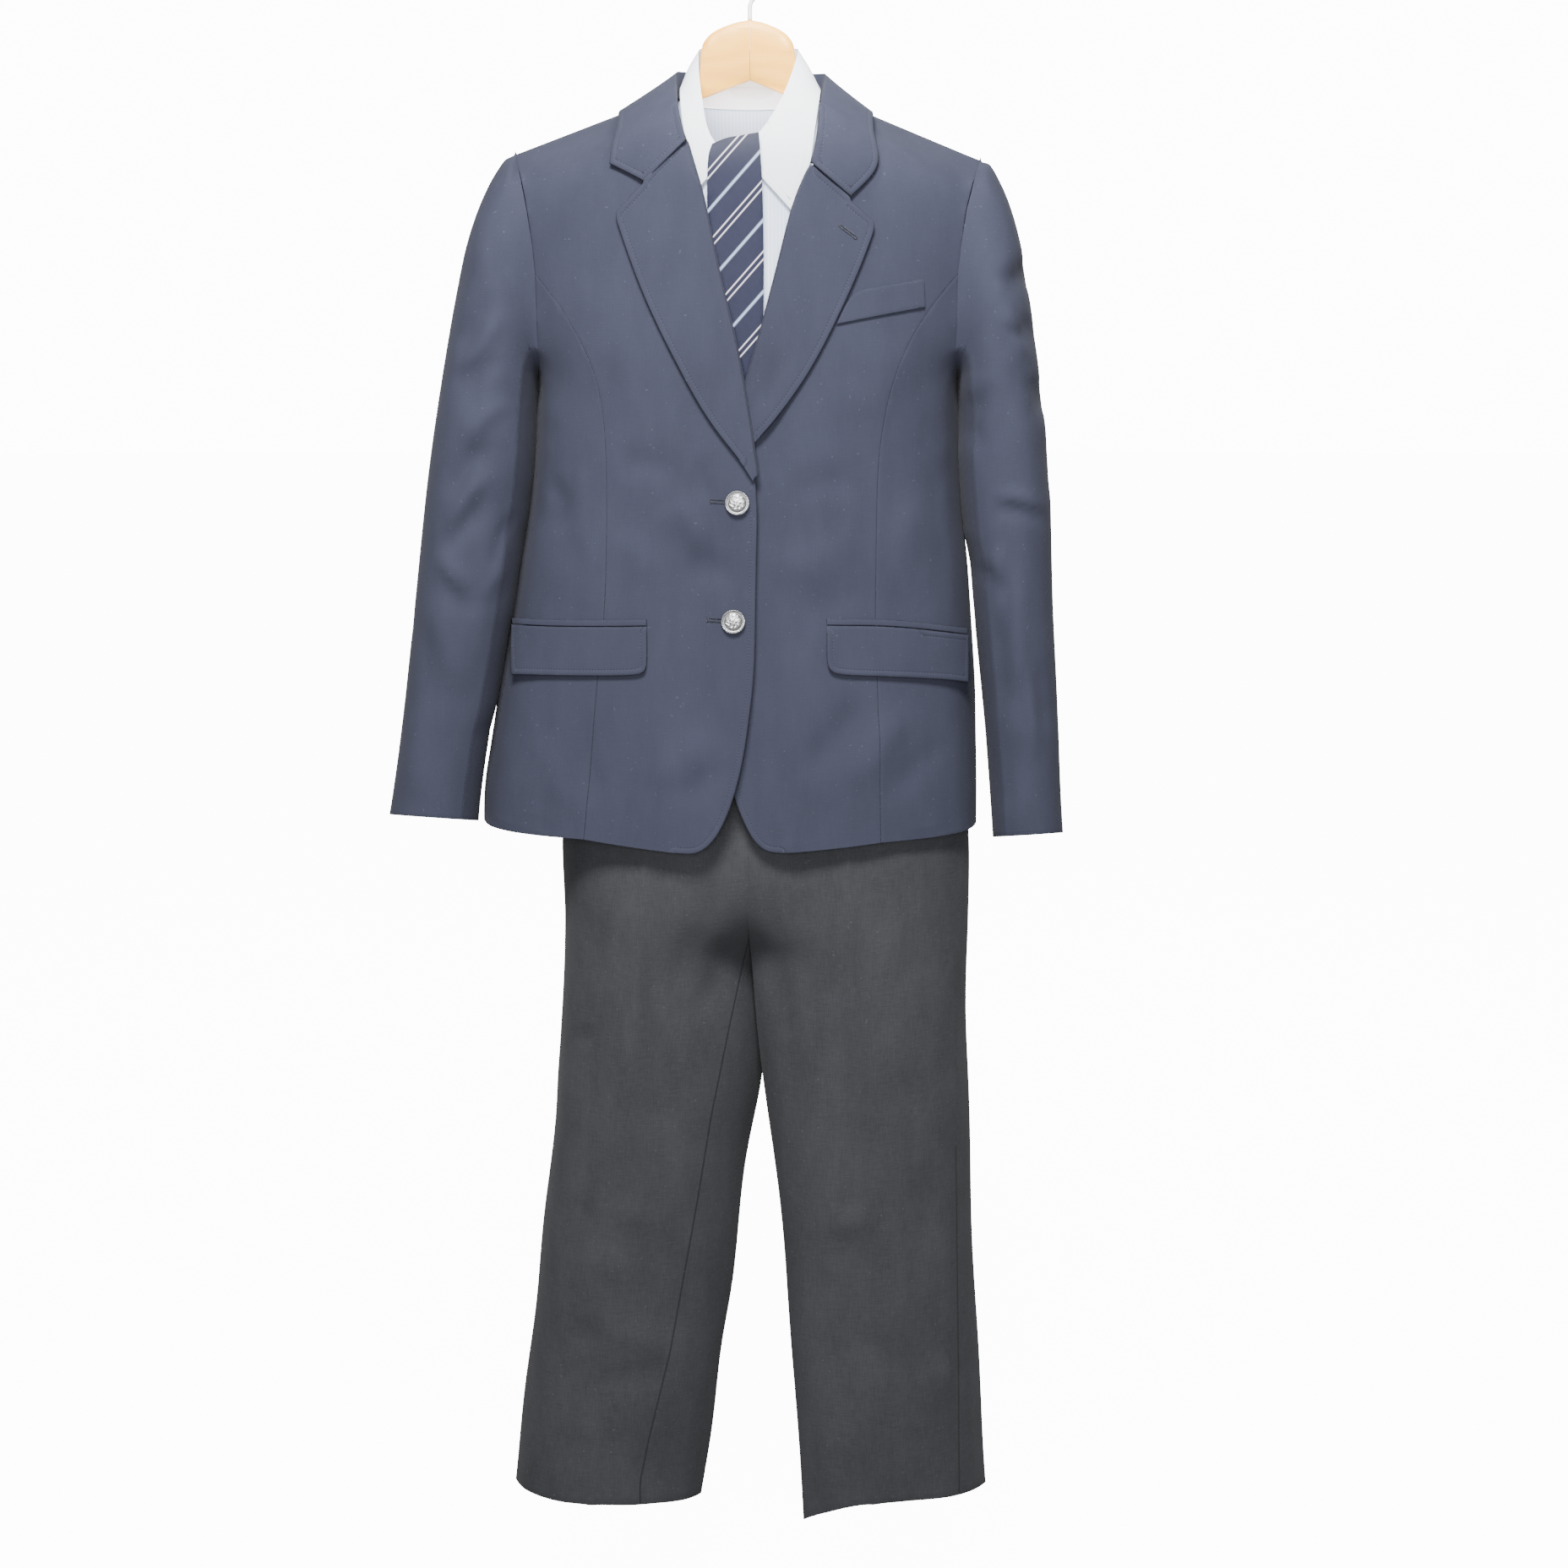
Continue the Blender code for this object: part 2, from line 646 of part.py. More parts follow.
def lapel(side, rows, way):
    under = tree_of(["blazer_front_" + side])
    outer = []
    inner = []
    for roll_x, roll_z, edge_x, edge_z in rows:
        top = []
        low = []
        for k in range(LAPEL_COLUMNS):
            share = k / (LAPEL_COLUMNS - 1)
            x = mix(roll_x, edge_x, share)
            z = mix(roll_z, edge_z, share)
            rise = smooth((edge_z + 395.0) / 60.0)
            body = 1.7 + rise * (2.4 * (1.0 - share) * share + 0.9 * (1.0 - share) ** 3)
            base = laid_point(x - way * 3.2, z, 0.0, under, reach=8.0)
            base.x = x
            low.append(base + Vector((0.0, -LAYER_GAP - 0.9 * body, 0.0)))
            top.append(base + Vector((0.0, -LAYER_GAP - 0.9 * body - SUIT_WALL, 0.0)))
        low.insert(0, low[0] + Vector((way * 0.9, 2.6, 0.0)))
        top.insert(0, top[0] + Vector((way * (0.9 + ROLL_OVER), 3.4, 0.0)))
        top[1].x += way * 1.0
        low[1].x += way * 0.4
        outer.append(top)
        inner.append(low)
    sheet("blazer_lapel_" + side, outer, inner, NAVY)


lapel("left", LAPEL_LEFT, 1.0)
lapel("right", LAPEL_RIGHT, -1.0)


# Pocket flaps and their jets: x, jet top z, flap top z, flap bottom z
FLAP_LEFT = [
    (-83.1, -530.9, -536.4, -569.0),
    (-86.0, -531.0, -536.6, -575.2),
    (-100.0, -531.4, -537.0, -576.4),
    (-122.0, -532.0, -537.6, -577.2),
    (-145.0, -532.6, -538.2, -577.8),
    (-165.0, -533.2, -538.8, -578.4),
    (-182.0, -533.8, -539.2, -579.0),
    (-190.0, -534.2, -539.6, -579.6),
    (-195.5, -534.6, -540.0, -580.2),
]
FLAP_RIGHT = [
    (61.6, -530.2, -535.8, -567.5),
    (65.5, -530.4, -536.0, -574.6),
    (80.0, -530.7, -536.3, -576.4),
    (100.0, -531.1, -536.7, -577.4),
    (120.0, -532.6, -538.2, -578.8),
    (140.0, -535.2, -540.8, -580.6),
    (158.0, -538.2, -543.8, -582.6),
    (170.0, -540.8, -546.4, -585.0),
    (177.0, -542.6, -548.2, -586.8),
]


def flap(side, rows):
    top = [[(x, flap_top) for x, jet, flap_top, low in rows]]
    for share in (0.5, 1.0):
        top.append([(x, mix(flap_top, low, share)) for x, jet, flap_top, low in rows])
    laid_sheet("blazer_flap_" + side, top, SUIT_WALL, lift=1.0, reach=9.0)
    jet_rows = [[(x, jet) for x, jet, flap_top, low in rows]]
    jet_rows.append([(x, flap_top + 0.6) for x, jet, flap_top, low in rows])
    laid_sheet("blazer_pocket_jet_" + side, jet_rows, 1.4, lift=0.8, reach=9.0)


flap("left", FLAP_LEFT)
flap("right", FLAP_RIGHT)

# Chest welt: top x, top z, bottom x, bottom z
WELT = [
    (79.6, -273.7, 68.6, -298.1),
    (94.0, -271.0, 84.0, -295.0),
    (108.5, -268.3, 102.5, -291.3),
    (123.0, -265.6, 120.5, -287.8),
    (136.9, -263.0, 138.3, -284.3),
]
welt_rows = [[(row[0], row[1]) for row in WELT], [(row[2], row[3]) for row in WELT]]
laid_sheet("blazer_chest_welt", welt_rows, 1.6)


# Blazer collar by station round the neck: stand x, y, z, then fold x, y, z, then edge x, z and side
COLLAR = [
    (-48.6, -60.2, -158.0, -49.6, -74.4, -156.9, -82.2, -188.9, "front"),
    (-52.6, -54.0, -146.0, -53.0, -67.5, -142.0, -108.6, -175.6, "front"),
    (-55.4, -40.0, -134.0, -56.2, -51.0, -127.0, -106.6, -160.0, "front"),
    (-57.5, -24.0, -124.0, -58.6, -29.0, -112.5, -104.2, -145.0, "front"),
    (-57.0, -11.0, -119.0, -59.4, -13.0, -103.5, -103.0, -24.0, "top"),
    (-57.5, 0.0, -117.0, -59.8, 0.0, -97.0, -102.2, 0.0, "top"),
    (-56.0, 10.0, -117.5, -58.4, 12.0, -94.5, -101.0, 22.0, "top"),
    (-50.0, 18.0, -119.0, -54.0, 24.0, -93.5, -97.0, -141.0, "back"),
    (-37.0, 29.0, -121.0, -40.5, 38.5, -91.5, -74.0, -146.0, "back"),
    (-19.0, 36.0, -123.0, -21.0, 46.0, -90.5, -38.0, -149.0, "back"),
    (0.0, 38.5, -124.0, 0.0, 48.5, -90.2, 0.0, -150.0, "back"),
    (19.0, 36.0, -123.0, 21.0, 46.0, -90.5, 38.0, -149.0, "back"),
    (37.0, 29.0, -121.0, 41.0, 38.5, -92.0, 73.0, -146.0, "back"),
    (50.0, 18.0, -119.5, 55.0, 24.0, -95.0, 93.0, -141.0, "back"),
    (55.5, 10.0, -118.0, 60.0, 12.0, -96.0, 95.5, 22.0, "top"),
    (56.5, 0.0, -118.0, 61.4, 0.0, -98.5, 96.4, 0.0, "top"),
    (56.0, -11.0, -120.0, 60.4, -13.0, -105.0, 96.6, -24.0, "top"),
    (56.0, -24.0, -125.0, 58.6, -29.0, -113.5, 97.0, -147.0, "front"),
    (54.0, -40.0, -136.0, 54.4, -57.0, -132.0, 99.6, -163.0, "front"),
    (53.2, -56.0, -151.0, 53.6, -71.5, -150.0, 102.4, -180.4, "front"),
    (47.8, -73.6, -174.0, 50.4, -77.6, -176.0, 79.6, -200.4, "front"),
]
COLLAR_WALL = 1.8


def wrapped_strip(name, lines, colour, wall, hub):
    """A folded strip from lines of points across it, with its wall on the hidden side of the fold."""
    lean = grid_normals(lines)
    middle = len(lines) // 2
    fold = 2
    away = (lines[middle][fold] - hub).dot(lean[middle][fold])
    sign = 1.0 if away > 0.0 else -1.0
    inner = [[p - n * (wall * sign) for p, n in zip(row, ways)] for row, ways in zip(lines, lean)]
    sheet(name, lines, inner, colour)


def ridge_point(x, y, out):
    """Point over the shoulder at x and y, standing out from the body by a distance."""
    depth = look_up(BODY, -130.0, 3 if y < 0.0 else 4)
    across = min(1.0, abs(x - look_up(BODY, -130.0, 1)) / look_up(BODY, -130.0, 2))
    reach = depth * (1.0 - across ** BODY_EXPONENT) ** (1.0 / BODY_EXPONENT)
    share = min(1.0, abs(y) / reach)
    drop = SHOULDER_ROUND * (1.0 - math.sqrt(1.0 - share * share))
    slope = math.copysign(shoulder_slope(x), x)
    normal = Vector((slope, y / reach, 1.0 - share)).normalized()
    return Vector((x, y, shoulder_z(x) - drop)) + normal * out


def collar_lines():
    lines = []
    for stand_x, stand_y, stand_z, fold_x, fold_y, fold_z, edge_x, edge_z, side in COLLAR:
        stand = Vector((stand_x, stand_y, stand_z))
        fold = Vector((fold_x, fold_y, fold_z))
        back = side == "back"
        top = side == "top"
        if top:
            edge = ridge_point(edge_x, edge_z, 4.4)
        else:
            edge = laid_point(edge_x, edge_z, 3.4, back=back, reach=9.0)
        line = [stand, stand.lerp(fold, 0.6), fold]
        for share in (0.3, 0.65):
            point = fold.lerp(edge, share)
            if top:
                point.z = max(point.z, ridge_point(point.x, point.y, 4.6).z)
            else:
                low_z = min(point.z, shoulder_z(point.x) - 1.0)
                under = laid_point(point.x, low_z, 5.0, back=back, reach=8.0)
                bulge = 2.5 * math.sin(share * math.pi)
                point.y = max(point.y + bulge, under.y) if back else min(point.y - bulge, under.y)
            line.append(point)
        line.append(edge)
        lines.append(line)
    return lines


wrapped_strip("blazer_collar", collar_lines(), NAVY, COLLAR_WALL, Vector((0.0, 0.0, -200.0)))

# Buttons: a domed metal face with a raised rim and a short shank
BUTTONS = [(-9.9, -437.4), (-13.5, -532.1)]
BUTTON_PROFILE = [
    (0.0, 4.6), (3.2, 4.45), (6.2, 3.9), (8.2, 3.1), (8.8, 3.5), (9.5, 3.5),
    (10.0, 2.6), (9.4, 1.7), (3.0, 1.5), (2.4, 0.5), (0.0, 0.5),
]


def turned_points(profile, segments, centre, axis, across):
    """Points and faces of a profile of (radius, height) pairs turned round an axis."""
    other = axis.cross(across)
    points = []
    rings = []
    for radius, height in profile:
        if radius < 1e-6:
            rings.append([len(points)] * segments)
            points.append(centre + axis * height)
            continue
        rings.append(list(range(len(points), len(points) + segments)))
        for k in range(segments):
            turn = 2.0 * math.pi * k / segments
            out = across * math.cos(turn) + other * math.sin(turn)
            points.append(centre + axis * height + out * radius)
    faces = []
    for low, high in zip(rings, rings[1:]):
        for k in range(segments):
            m = (k + 1) % segments
            face = [low[k], low[m], high[m], high[k]]
            face = [v for n, v in enumerate(face) if v not in face[:n]]
            if len(face) > 2:
                faces.append(tuple(face))
    return points, faces


for number, (x, z) in enumerate(BUTTONS, 1):
    base = laid_point(x, z, 0.0, reach=BUTTON_RADIUS * 0.3)
    axis = Vector((0.0, -1.0, 0.0))
    points, faces = turned_points(BUTTON_PROFILE, 18, base, axis, Vector((1.0, 0.0, 0.0)))
    add_piece(f"blazer_button_{number}", points, faces, (0.62, 0.62, 0.60), 0.32, 1.0)


# Shirt body rows: z at the side, z at the centre
SHIRT_ROWS = [
    (-642.0, -642.0), (-580.0, -580.0), (-520.0, -520.0), (-460.0, -460.0), (-400.0, -400.0),
    (-340.0, -340.0), (-316.0, -310.0), (-288.0, -280.0), (-256.0, -250.0), (-222.0, -222.0),
    (-190.0, -196.0),
]
SHIRT_ARMPIT_ROW = 5
SHIRT_ARMHOLE = [
    (-341.0, 163.0), (-300.0, 164.0), (-256.0, 164.5), (-222.0, 167.0), (-190.0, 171.0), (-100.0, 178.0),
]
SHIRT_CENTRE_X = -13.0
SHIRT_NECK_Z = -177.0
SHIRT_NECK_HALF = 53.0
SHIRT_BLUE = (0.52, 0.62, 0.86)
SHIRT_WHITE = (0.80, 0.83, 0.90)


def shirt_side(way, back):
    """Side seam and armhole of the shirt as (angle, z) pairs, hem first, ending at the shoulder."""
    pairs = []
    for row, (side_z, centre_z) in enumerate(SHIRT_ROWS):
        if row <= SHIRT_ARMPIT_ROW:
            pairs.append((0.0 if way < 0.0 else 180.0, side_z))
        else:
            x = way * look_up(SHIRT_ARMHOLE, side_z, 1)
            pairs.append((body_angle(x, side_z, back, SHIRT_INSET), side_z))
    tip = way * 175.0
    tip_z = shoulder_z(tip) - SHIRT_INSET
    pairs.append((body_angle(tip, tip_z, back, SHIRT_INSET), tip_z))
    if back and way < 0.0:
        pairs = [(360.0 if n <= SHIRT_ARMPIT_ROW else a, z) for n, (a, z) in enumerate(pairs)]
    return pairs


def shirt_top(way, back, neck_low):
    """Shoulder and neck edge of a side as (angle, z) pairs, from the shoulder tip to the centre."""
    top = []
    neck_z = shoulder_z(way * SHIRT_NECK_HALF) - SHIRT_INSET
    for k in range(4):
        x = way * mix(175.0, SHIRT_NECK_HALF, k / 3.0)
        z = shoulder_z(x) - SHIRT_INSET
        top.append((body_angle(x, z, back, SHIRT_INSET), z))
    centre_x = look_up(BODY, neck_low, 1) if back else SHIRT_CENTRE_X
    for k in range(1, 5):
        turn = k / 4.0 * math.pi / 2.0
        x = mix(centre_x, way * SHIRT_NECK_HALF, math.cos(turn))
        z = mix(neck_z, neck_low, math.sin(turn))
        top.append((body_angle(x, z, back, SHIRT_INSET), z))
    return top


def shirt_front(way):
    side = shirt_side(way, False)
    middle = [(body_angle(SHIRT_CENTRE_X, row[1], False, SHIRT_INSET), row[1]) for row in SHIRT_ROWS]
    middle.append((body_angle(SHIRT_CENTRE_X, SHIRT_NECK_Z, False, SHIRT_INSET), SHIRT_NECK_Z))
    top = shirt_top(way, False, SHIRT_NECK_Z)
    hem = border([side[0], middle[0]], len(top))
    patch = fill_patch(hem, top, side, middle)
    return patch if way < 0.0 else [row[::-1] for row in patch]


SHIRT_EDGES = ("first_column", "last_column", "last_row")
body_sheet("shirt_front_left", shirt_front(-1.0), SHIRT_EDGES, SHIRT_BLUE, SHIRT_WALL, SHIRT_INSET)
body_sheet("shirt_front_right", shirt_front(1.0), SHIRT_EDGES, SHIRT_BLUE, SHIRT_WALL, SHIRT_INSET)
right_back = shirt_top(1.0, True, -121.5)
left_back = shirt_top(-1.0, True, -121.5)
back_top = right_back + left_back[-2::-1]
back_first = shirt_side(1.0, True)
back_last = shirt_side(-1.0, True)
back_hem = border([back_first[0], back_last[0]], len(back_top))
shirt_back = fill_patch(back_hem, back_top, back_first, back_last)
body_sheet("shirt_back", shirt_back, SHIRT_EDGES, SHIRT_BLUE, SHIRT_WALL, SHIRT_INSET)

# Shirt collar by station round the neck: stand x, y, z, then fold x, y, z, then leaf edge x, y, z
SHIRT_COLLAR = [
    (-15.0, -55.0, -174.5, -14.0, -61.0, -166.5, -45.0, -66.0, -199.0),
    (-25.0, -51.0, -167.0, -26.5, -58.0, -160.5, -47.5, -64.0, -180.0),
    (-34.0, -41.5, -152.0, -33.6, -50.0, -146.0, -48.5, -60.8, -163.0),
    (-40.5, -27.0, -137.0, -36.9, -36.0, -126.0, -53.4, -47.0, -138.0),
    (-45.0, -11.0, -123.0, -40.6, -16.0, -101.0, -56.2, -17.0, -111.6),
    (-47.2, 0.0, -119.0, -41.8, 0.0, -79.0, -56.0, 0.0, -108.0),
    (-43.5, 13.0, -119.0, -40.2, 16.0, -76.0, -48.5, 16.5, -106.0),
    (-24.0, 24.0, -119.0, -24.0, 28.0, -75.0, -28.0, 30.5, -104.0),
    (0.0, 30.0, -119.0, 0.0, 34.5, -75.0, 0.0, 37.0, -104.0),
    (24.0, 24.0, -119.0, 23.0, 28.0, -75.0, 28.0, 30.5, -104.0),
    (42.5, 13.0, -120.0, 38.0, 16.0, -76.0, 48.0, 16.5, -107.0),
    (46.2, 0.0, -120.0, 39.6, 0.0, -79.0, 56.4, 0.0, -109.0),
    (43.0, -11.0, -125.0, 33.8, -18.0, -100.0, 57.0, -17.0, -112.5),
    (37.5, -27.0, -138.0, 25.4, -37.0, -123.5, 52.6, -49.0, -139.0),
    (26.0, -42.0, -154.0, 14.5, -50.5, -142.0, 49.5, -60.8, -163.0),
    (9.0, -52.5, -167.0, 5.2, -59.0, -154.5, 48.0, -64.0, -177.0),
    (-10.0, -55.0, -174.5, -9.6, -61.0, -164.5, 34.2, -66.4, -211.6),
]
SHIRT_COLLAR_WALL = 1.2

shirt_collar = []
for line in SHIRT_COLLAR:
    stand, fold, edge = (Vector(line[k:k + 3]) for k in (0, 3, 6))
    middle = fold.lerp(edge, 0.45)
    middle.y += math.copysign(1.2, middle.y)
    middle.x *= 1.0 + 0.09 * smooth(1.0 - abs(fold.y) / 30.0)
    shirt_collar.append([stand, stand.lerp(fold, 0.55), fold, middle, edge])
wrapped_strip("shirt_collar", shirt_collar, SHIRT_WHITE, SHIRT_COLLAR_WALL, Vector((0.0, 0.0, -200.0)))

# Tie: a folded blade hung over the collar band, from the inner tail's end over the fold to the hidden point
# Rows: z, left x, right x, y
TIE = [
    (-236.0, -20.5, 2.0, -48.0),
    (-200.0, -21.0, 2.5, -47.5),
    (-168.0, -21.5, 3.0, -46.8),
    (-156.2, -23.0, 4.5, -49.6),
    (-152.8, -26.0, 6.4, -57.5),
    (-154.8, -28.6, 7.6, -66.0),
    (-163.0, -31.2, 8.4, -68.2),
    (-176.0, -32.4, 9.6, -69.9),
    (-200.0, -32.9, 10.7, -70.4),
    (-238.0, -32.2, 11.4, -70.4),
    (-290.0, -30.4, 11.4, -70.4),
    (-330.0, -27.0, 9.6, -69.4),
    (-352.0, -25.0, 8.0, -67.6),
    (-398.0, -22.0, 5.0, -65.0),
    (-428.0, -10.0, -6.0, -64.4),
]
TIE_COLUMNS = 5
TIE_TILT = 0.16
tie_outer = []
for z, left_x, right_x, y in TIE:
    tilt = TIE_TILT * smooth((z + 172.0) / 12.0)
    row = []
    for k in range(TIE_COLUMNS):
        share = k / (TIE_COLUMNS - 1)
        x = mix(left_x, right_x, share)
        corner = 2.6 * smooth(1.0 - share * 4.0) * smooth((z + 166.0) / 8.0)
        row.append(Vector((x, y, z + tilt * (x + 10.0) - corner)))
    tie_outer.append(row)
tie_lean = grid_normals(tie_outer)
tie_wall = math.copysign(TIE_WALL, tie_lean[9][2].y)
tie_inner = [[p + n * tie_wall for p, n in zip(row, ways)] for row, ways in zip(tie_outer, tie_lean)]
sheet("tie", tie_outer, tie_inner, (0.012, 0.014, 0.040), 0.6)


# Trouser leg rows: z, side x, side y, crease x, front y, back y, then the inner line's x, front y, back y, z
# Above the crotch the inner line is the centre seam, so its front and back points differ
LEG_LEFT = [
    (-533.0, -143.0, 0.0, -66.0, -4.6, 4.6, 11.0, -4.6, 4.6, -533.0),
    (-556.0, -145.0, 0.0, -67.0, -5.0, 5.0, 10.6, -5.4, 5.4, -556.0),
    (-600.0, -151.0, 0.0, -72.0, -30.0, 30.0, 9.0, -32.0, 30.0, -600.0),
    (-660.0, -158.0, 0.0, -80.0, -50.0, 50.0, 4.0, -51.0, 49.0, -660.0),
    (-725.0, -161.3, 0.0, -87.0, -59.0, 60.0, -1.6, -57.5, 58.0, -725.0),
    (-768.0, -160.7, 0.0, -90.0, -60.0, 62.0, -2.4, -54.0, 58.0, -764.0),
    (-796.0, -161.0, 0.0, -92.6, -59.5, 62.0, -2.8, -45.0, 48.0, -788.0),
    (-816.0, -161.4, 0.0, -94.4, -58.6, 61.4, -2.6, -28.0, 32.0, -806.0),
    (-838.0, -162.0, 0.0, -96.4, -57.8, 60.6, -1.4, 4.0, 6.0, -822.0),
    (-880.0, -163.5, 0.0, -100.0, -56.0, 58.0, 7.6, 10.0, 10.0, -872.0),
    (-935.0, -168.0, 0.0, -107.0, -53.0, 54.0, 10.0, 12.0, 12.0, -930.0),
    (-1000.0, -175.0, 0.0, -113.0, -51.0, 50.0, -5.0, 8.0, 8.0, -1000.0),
    (-1075.0, -185.0, 0.0, -120.0, -48.0, 47.0, -14.5, 5.0, 5.0, -1075.0),
    (-1138.0, -192.6, 0.0, -126.0, -46.0, 46.0, -19.2, 3.0, 3.0, -1138.0),
    (-1194.0, -200.1, 0.0, -131.0, -46.0, 46.0, -29.4, 2.0, 2.0, -1194.0),
    (-1255.0, -207.5, 0.0, -137.0, -46.0, 46.0, -37.2, 1.0, 1.0, -1258.0),
    (-1316.0, -215.0, 0.0, -143.0, -46.0, 46.0, -48.0, 0.0, 0.0, -1330.0),
]
LEG_RIGHT = [
    (-533.0, 166.0, 0.0, 89.0, -4.6, 4.6, 11.0, -4.6, 4.6, -533.0),
    (-556.0, 168.0, 0.0, 88.0, -5.0, 5.0, 10.6, -5.4, 5.4, -556.0),
    (-600.0, 174.0, 0.0, 86.0, -30.0, 30.0, 9.0, -32.0, 30.0, -600.0),
    (-660.0, 180.5, 0.0, 82.0, -50.0, 50.0, 4.0, -51.0, 49.0, -660.0),
    (-725.0, 186.0, 0.0, 80.0, -59.0, 60.0, -1.6, -57.5, 58.0, -725.0),
    (-768.0, 184.8, 1.0, 81.5, -60.0, 62.0, -2.4, -54.0, 58.0, -764.0),
    (-796.0, 184.7, 1.0, 82.8, -60.0, 61.2, -2.8, -45.0, 48.0, -788.0),
    (-816.0, 184.6, 1.5, 83.8, -60.0, 59.6, -1.8, -30.0, 30.0, -806.0),
    (-838.0, 184.6, 2.0, 84.8, -60.0, 57.6, -0.8, -8.0, -4.0, -822.0),
    (-880.0, 185.1, 2.0, 86.5, -60.0, 54.0, 3.4, -16.0, -16.0, -872.0),
    (-935.0, 188.0, 3.0, 90.0, -59.0, 50.0, 10.4, -20.0, -20.0, -930.0),
    (-1000.0, 189.8, 3.0, 93.0, -58.0, 47.0, 19.2, -23.0, -23.0, -1000.0),
    (-1075.0, 193.9, 4.0, 95.5, -57.0, 44.0, 26.8, -27.0, -27.0, -1075.0),
    (-1138.0, 197.6, 4.0, 97.0, -57.0, 42.0, 31.7, -30.0, -30.0, -1138.0),
    (-1194.0, 201.1, 5.0, 98.8, -57.0, 40.0, 36.0, -33.0, -33.0, -1194.0),
    (-1255.0, 205.4, 5.0, 103.0, -57.0, 40.0, 40.2, -36.0, -36.0, -1262.0),
    (-1308.0, 210.4, 5.0, 107.0, -57.0, 40.0, 45.2, -39.0, -39.0, -1334.0),
]
LEG_STEPS = 5
HEM_SIDE_DROP = 14.0
CROTCH_BLEND_LOW_Z = -900.0
CROTCH_BLEND_HEIGHT = 130.0


def bent(start, corner, end, steps, skip_first=False):
    """Points of a smooth bend from start to end that leans to a corner."""
    points = []
    for k in range(1 if skip_first else 0, steps):
        t = k / (steps - 1)
        points.append(start * (1 - t) ** 2 + corner * (2 * t * (1 - t)) + end * t * t)
    return points


def leg_panel(name, rows, back, flip):
    grid = []
    for count, numbers in enumerate(rows):
        z, side_x, side_y, crease_x, front_y, back_y, inner_x, inner_front, inner_back, inner_z = numbers
        deep = back_y if back else front_y
        inner_y = inner_back if back else inner_front
        fall = HEM_SIDE_DROP * smooth((count - len(rows) + 2.0)) if rows is LEG_RIGHT else 0.0
        side = Vector((side_x, side_y, z - fall))
        crease = Vector((crease_x, deep, z))
        inner = Vector((inner_x, inner_y, inner_z))
        seat_share = smooth((inner_z - CROTCH_BLEND_LOW_Z) / CROTCH_BLEND_HEIGHT)
        side_corner = Vector((mix(side_x, crease_x, 0.10), mix(side_y, deep, 0.84), z - fall * 0.2))
        inner_corner = Vector((
            mix(inner_x, crease_x, mix(0.10, 0.50, seat_share)),
            mix(inner_y, deep, mix(0.84, 0.62, seat_share)),
            mix(inner_z, z, 0.5),
        ))
        row = bent(side, side_corner, crease, LEG_STEPS)
        row += bent(crease, inner_corner, inner, LEG_STEPS, skip_first=True)
        grid.append(row)
    lean = grid_normals(grid)
    grid = draw_in(grid, ("first_column", "last_column"))
    sign = -1.0 if (lean[4][LEG_STEPS - 1].y > 0.0) != back else 1.0
    wall = TROUSER_WALL * sign
    inner_side = [[p - n * wall for p, n in zip(row, ways)] for row, ways in zip(grid, lean)]
    for row, numbers in zip(inner_side, rows):
        middle = 0.5 * (numbers[7] + numbers[8])
        for point in row:
            split = mix(numbers[2], middle, (point.x - numbers[1]) / (numbers[6] - numbers[1]))
            point.y = max(point.y, split + 0.2) if back else min(point.y, split - 0.2)
    if flip:
        grid = [row[::-1] for row in grid]
        inner_side = [row[::-1] for row in inner_side]
    sheet(name, grid, inner_side, CHARCOAL)


leg_panel("trousers_front_left", LEG_LEFT, False, False)
leg_panel("trousers_back_left", LEG_LEFT, True, True)
leg_panel("trousers_front_right", LEG_RIGHT, False, True)
leg_panel("trousers_back_right", LEG_RIGHT, True, False)

# Hanger: two wooden halves that meet at the centre, by station: x, top z, bottom z
WOOD = [
    (0.15, -57.8, -103.2),
    (9.0, -58.8, -106.4),
    (18.0, -61.6, -109.7),
    (29.0, -66.0, -113.7),
    (35.5, -71.8, -116.2),
    (38.6, -77.5, -117.6),
    (39.6, -87.0, -119.0),
    (40.2, -104.0, -122.0),
    (40.8, -121.0, -129.0),
    (46.0, -129.0, -138.0),
    (66.0, -132.0, -151.0),
    (100.0, -143.0, -167.0),
    (140.0, -159.0, -181.0),
    (164.0, -169.0, -187.0),
    (168.0, -172.0, -184.0),
]
WOOD_SECTION = [
    (-0.55, 0.0), (-1.0, 0.12), (-1.0, 0.88), (-0.55, 1.0),
    (0.55, 1.0), (1.0, 0.88), (1.0, 0.12), (0.55, 0.0),
]
RIGHT_ARM_NARROW = 0.92
WOOD_COLOUR = (0.72, 0.48, 0.22)
STEEL_COLOUR = (0.60, 0.60, 0.60)


def closed_tube(name, rings, colour, roughness, metallic=0.0, shade=True):
    count = len(rings[0])
    points = [point for ring in rings for point in ring]
    faces = [tuple(range(count))[::-1]]
    for i in range(len(rings) - 1):
        for j in range(count):
            a = i * count + j
            b = i * count + (j + 1) % count
            faces.append((a, b, b + count, a + count))
    faces.append(tuple(range((len(rings) - 1) * count, len(rings) * count)))
    add_piece(name, points, faces, colour, roughness, metallic, shade)


for side, way in (("left", -1.0), ("right", 1.0)):
    rings = []
    for x, top, bottom in WOOD:
        x *= 1.0 if way < 0.0 else mix(RIGHT_ARM_NARROW, 1.0, smooth((x - 40.0) / 30.0))
        ring = []
        for y_share, z_share in WOOD_SECTION:
            ring.append(Vector((way * x, y_share * WOOD_HALF_THICK, mix(top, bottom, z_share))))
        rings.append(ring)
    closed_tube("hanger_arm_" + side, rings, WOOD_COLOUR, 0.45, shade=False)


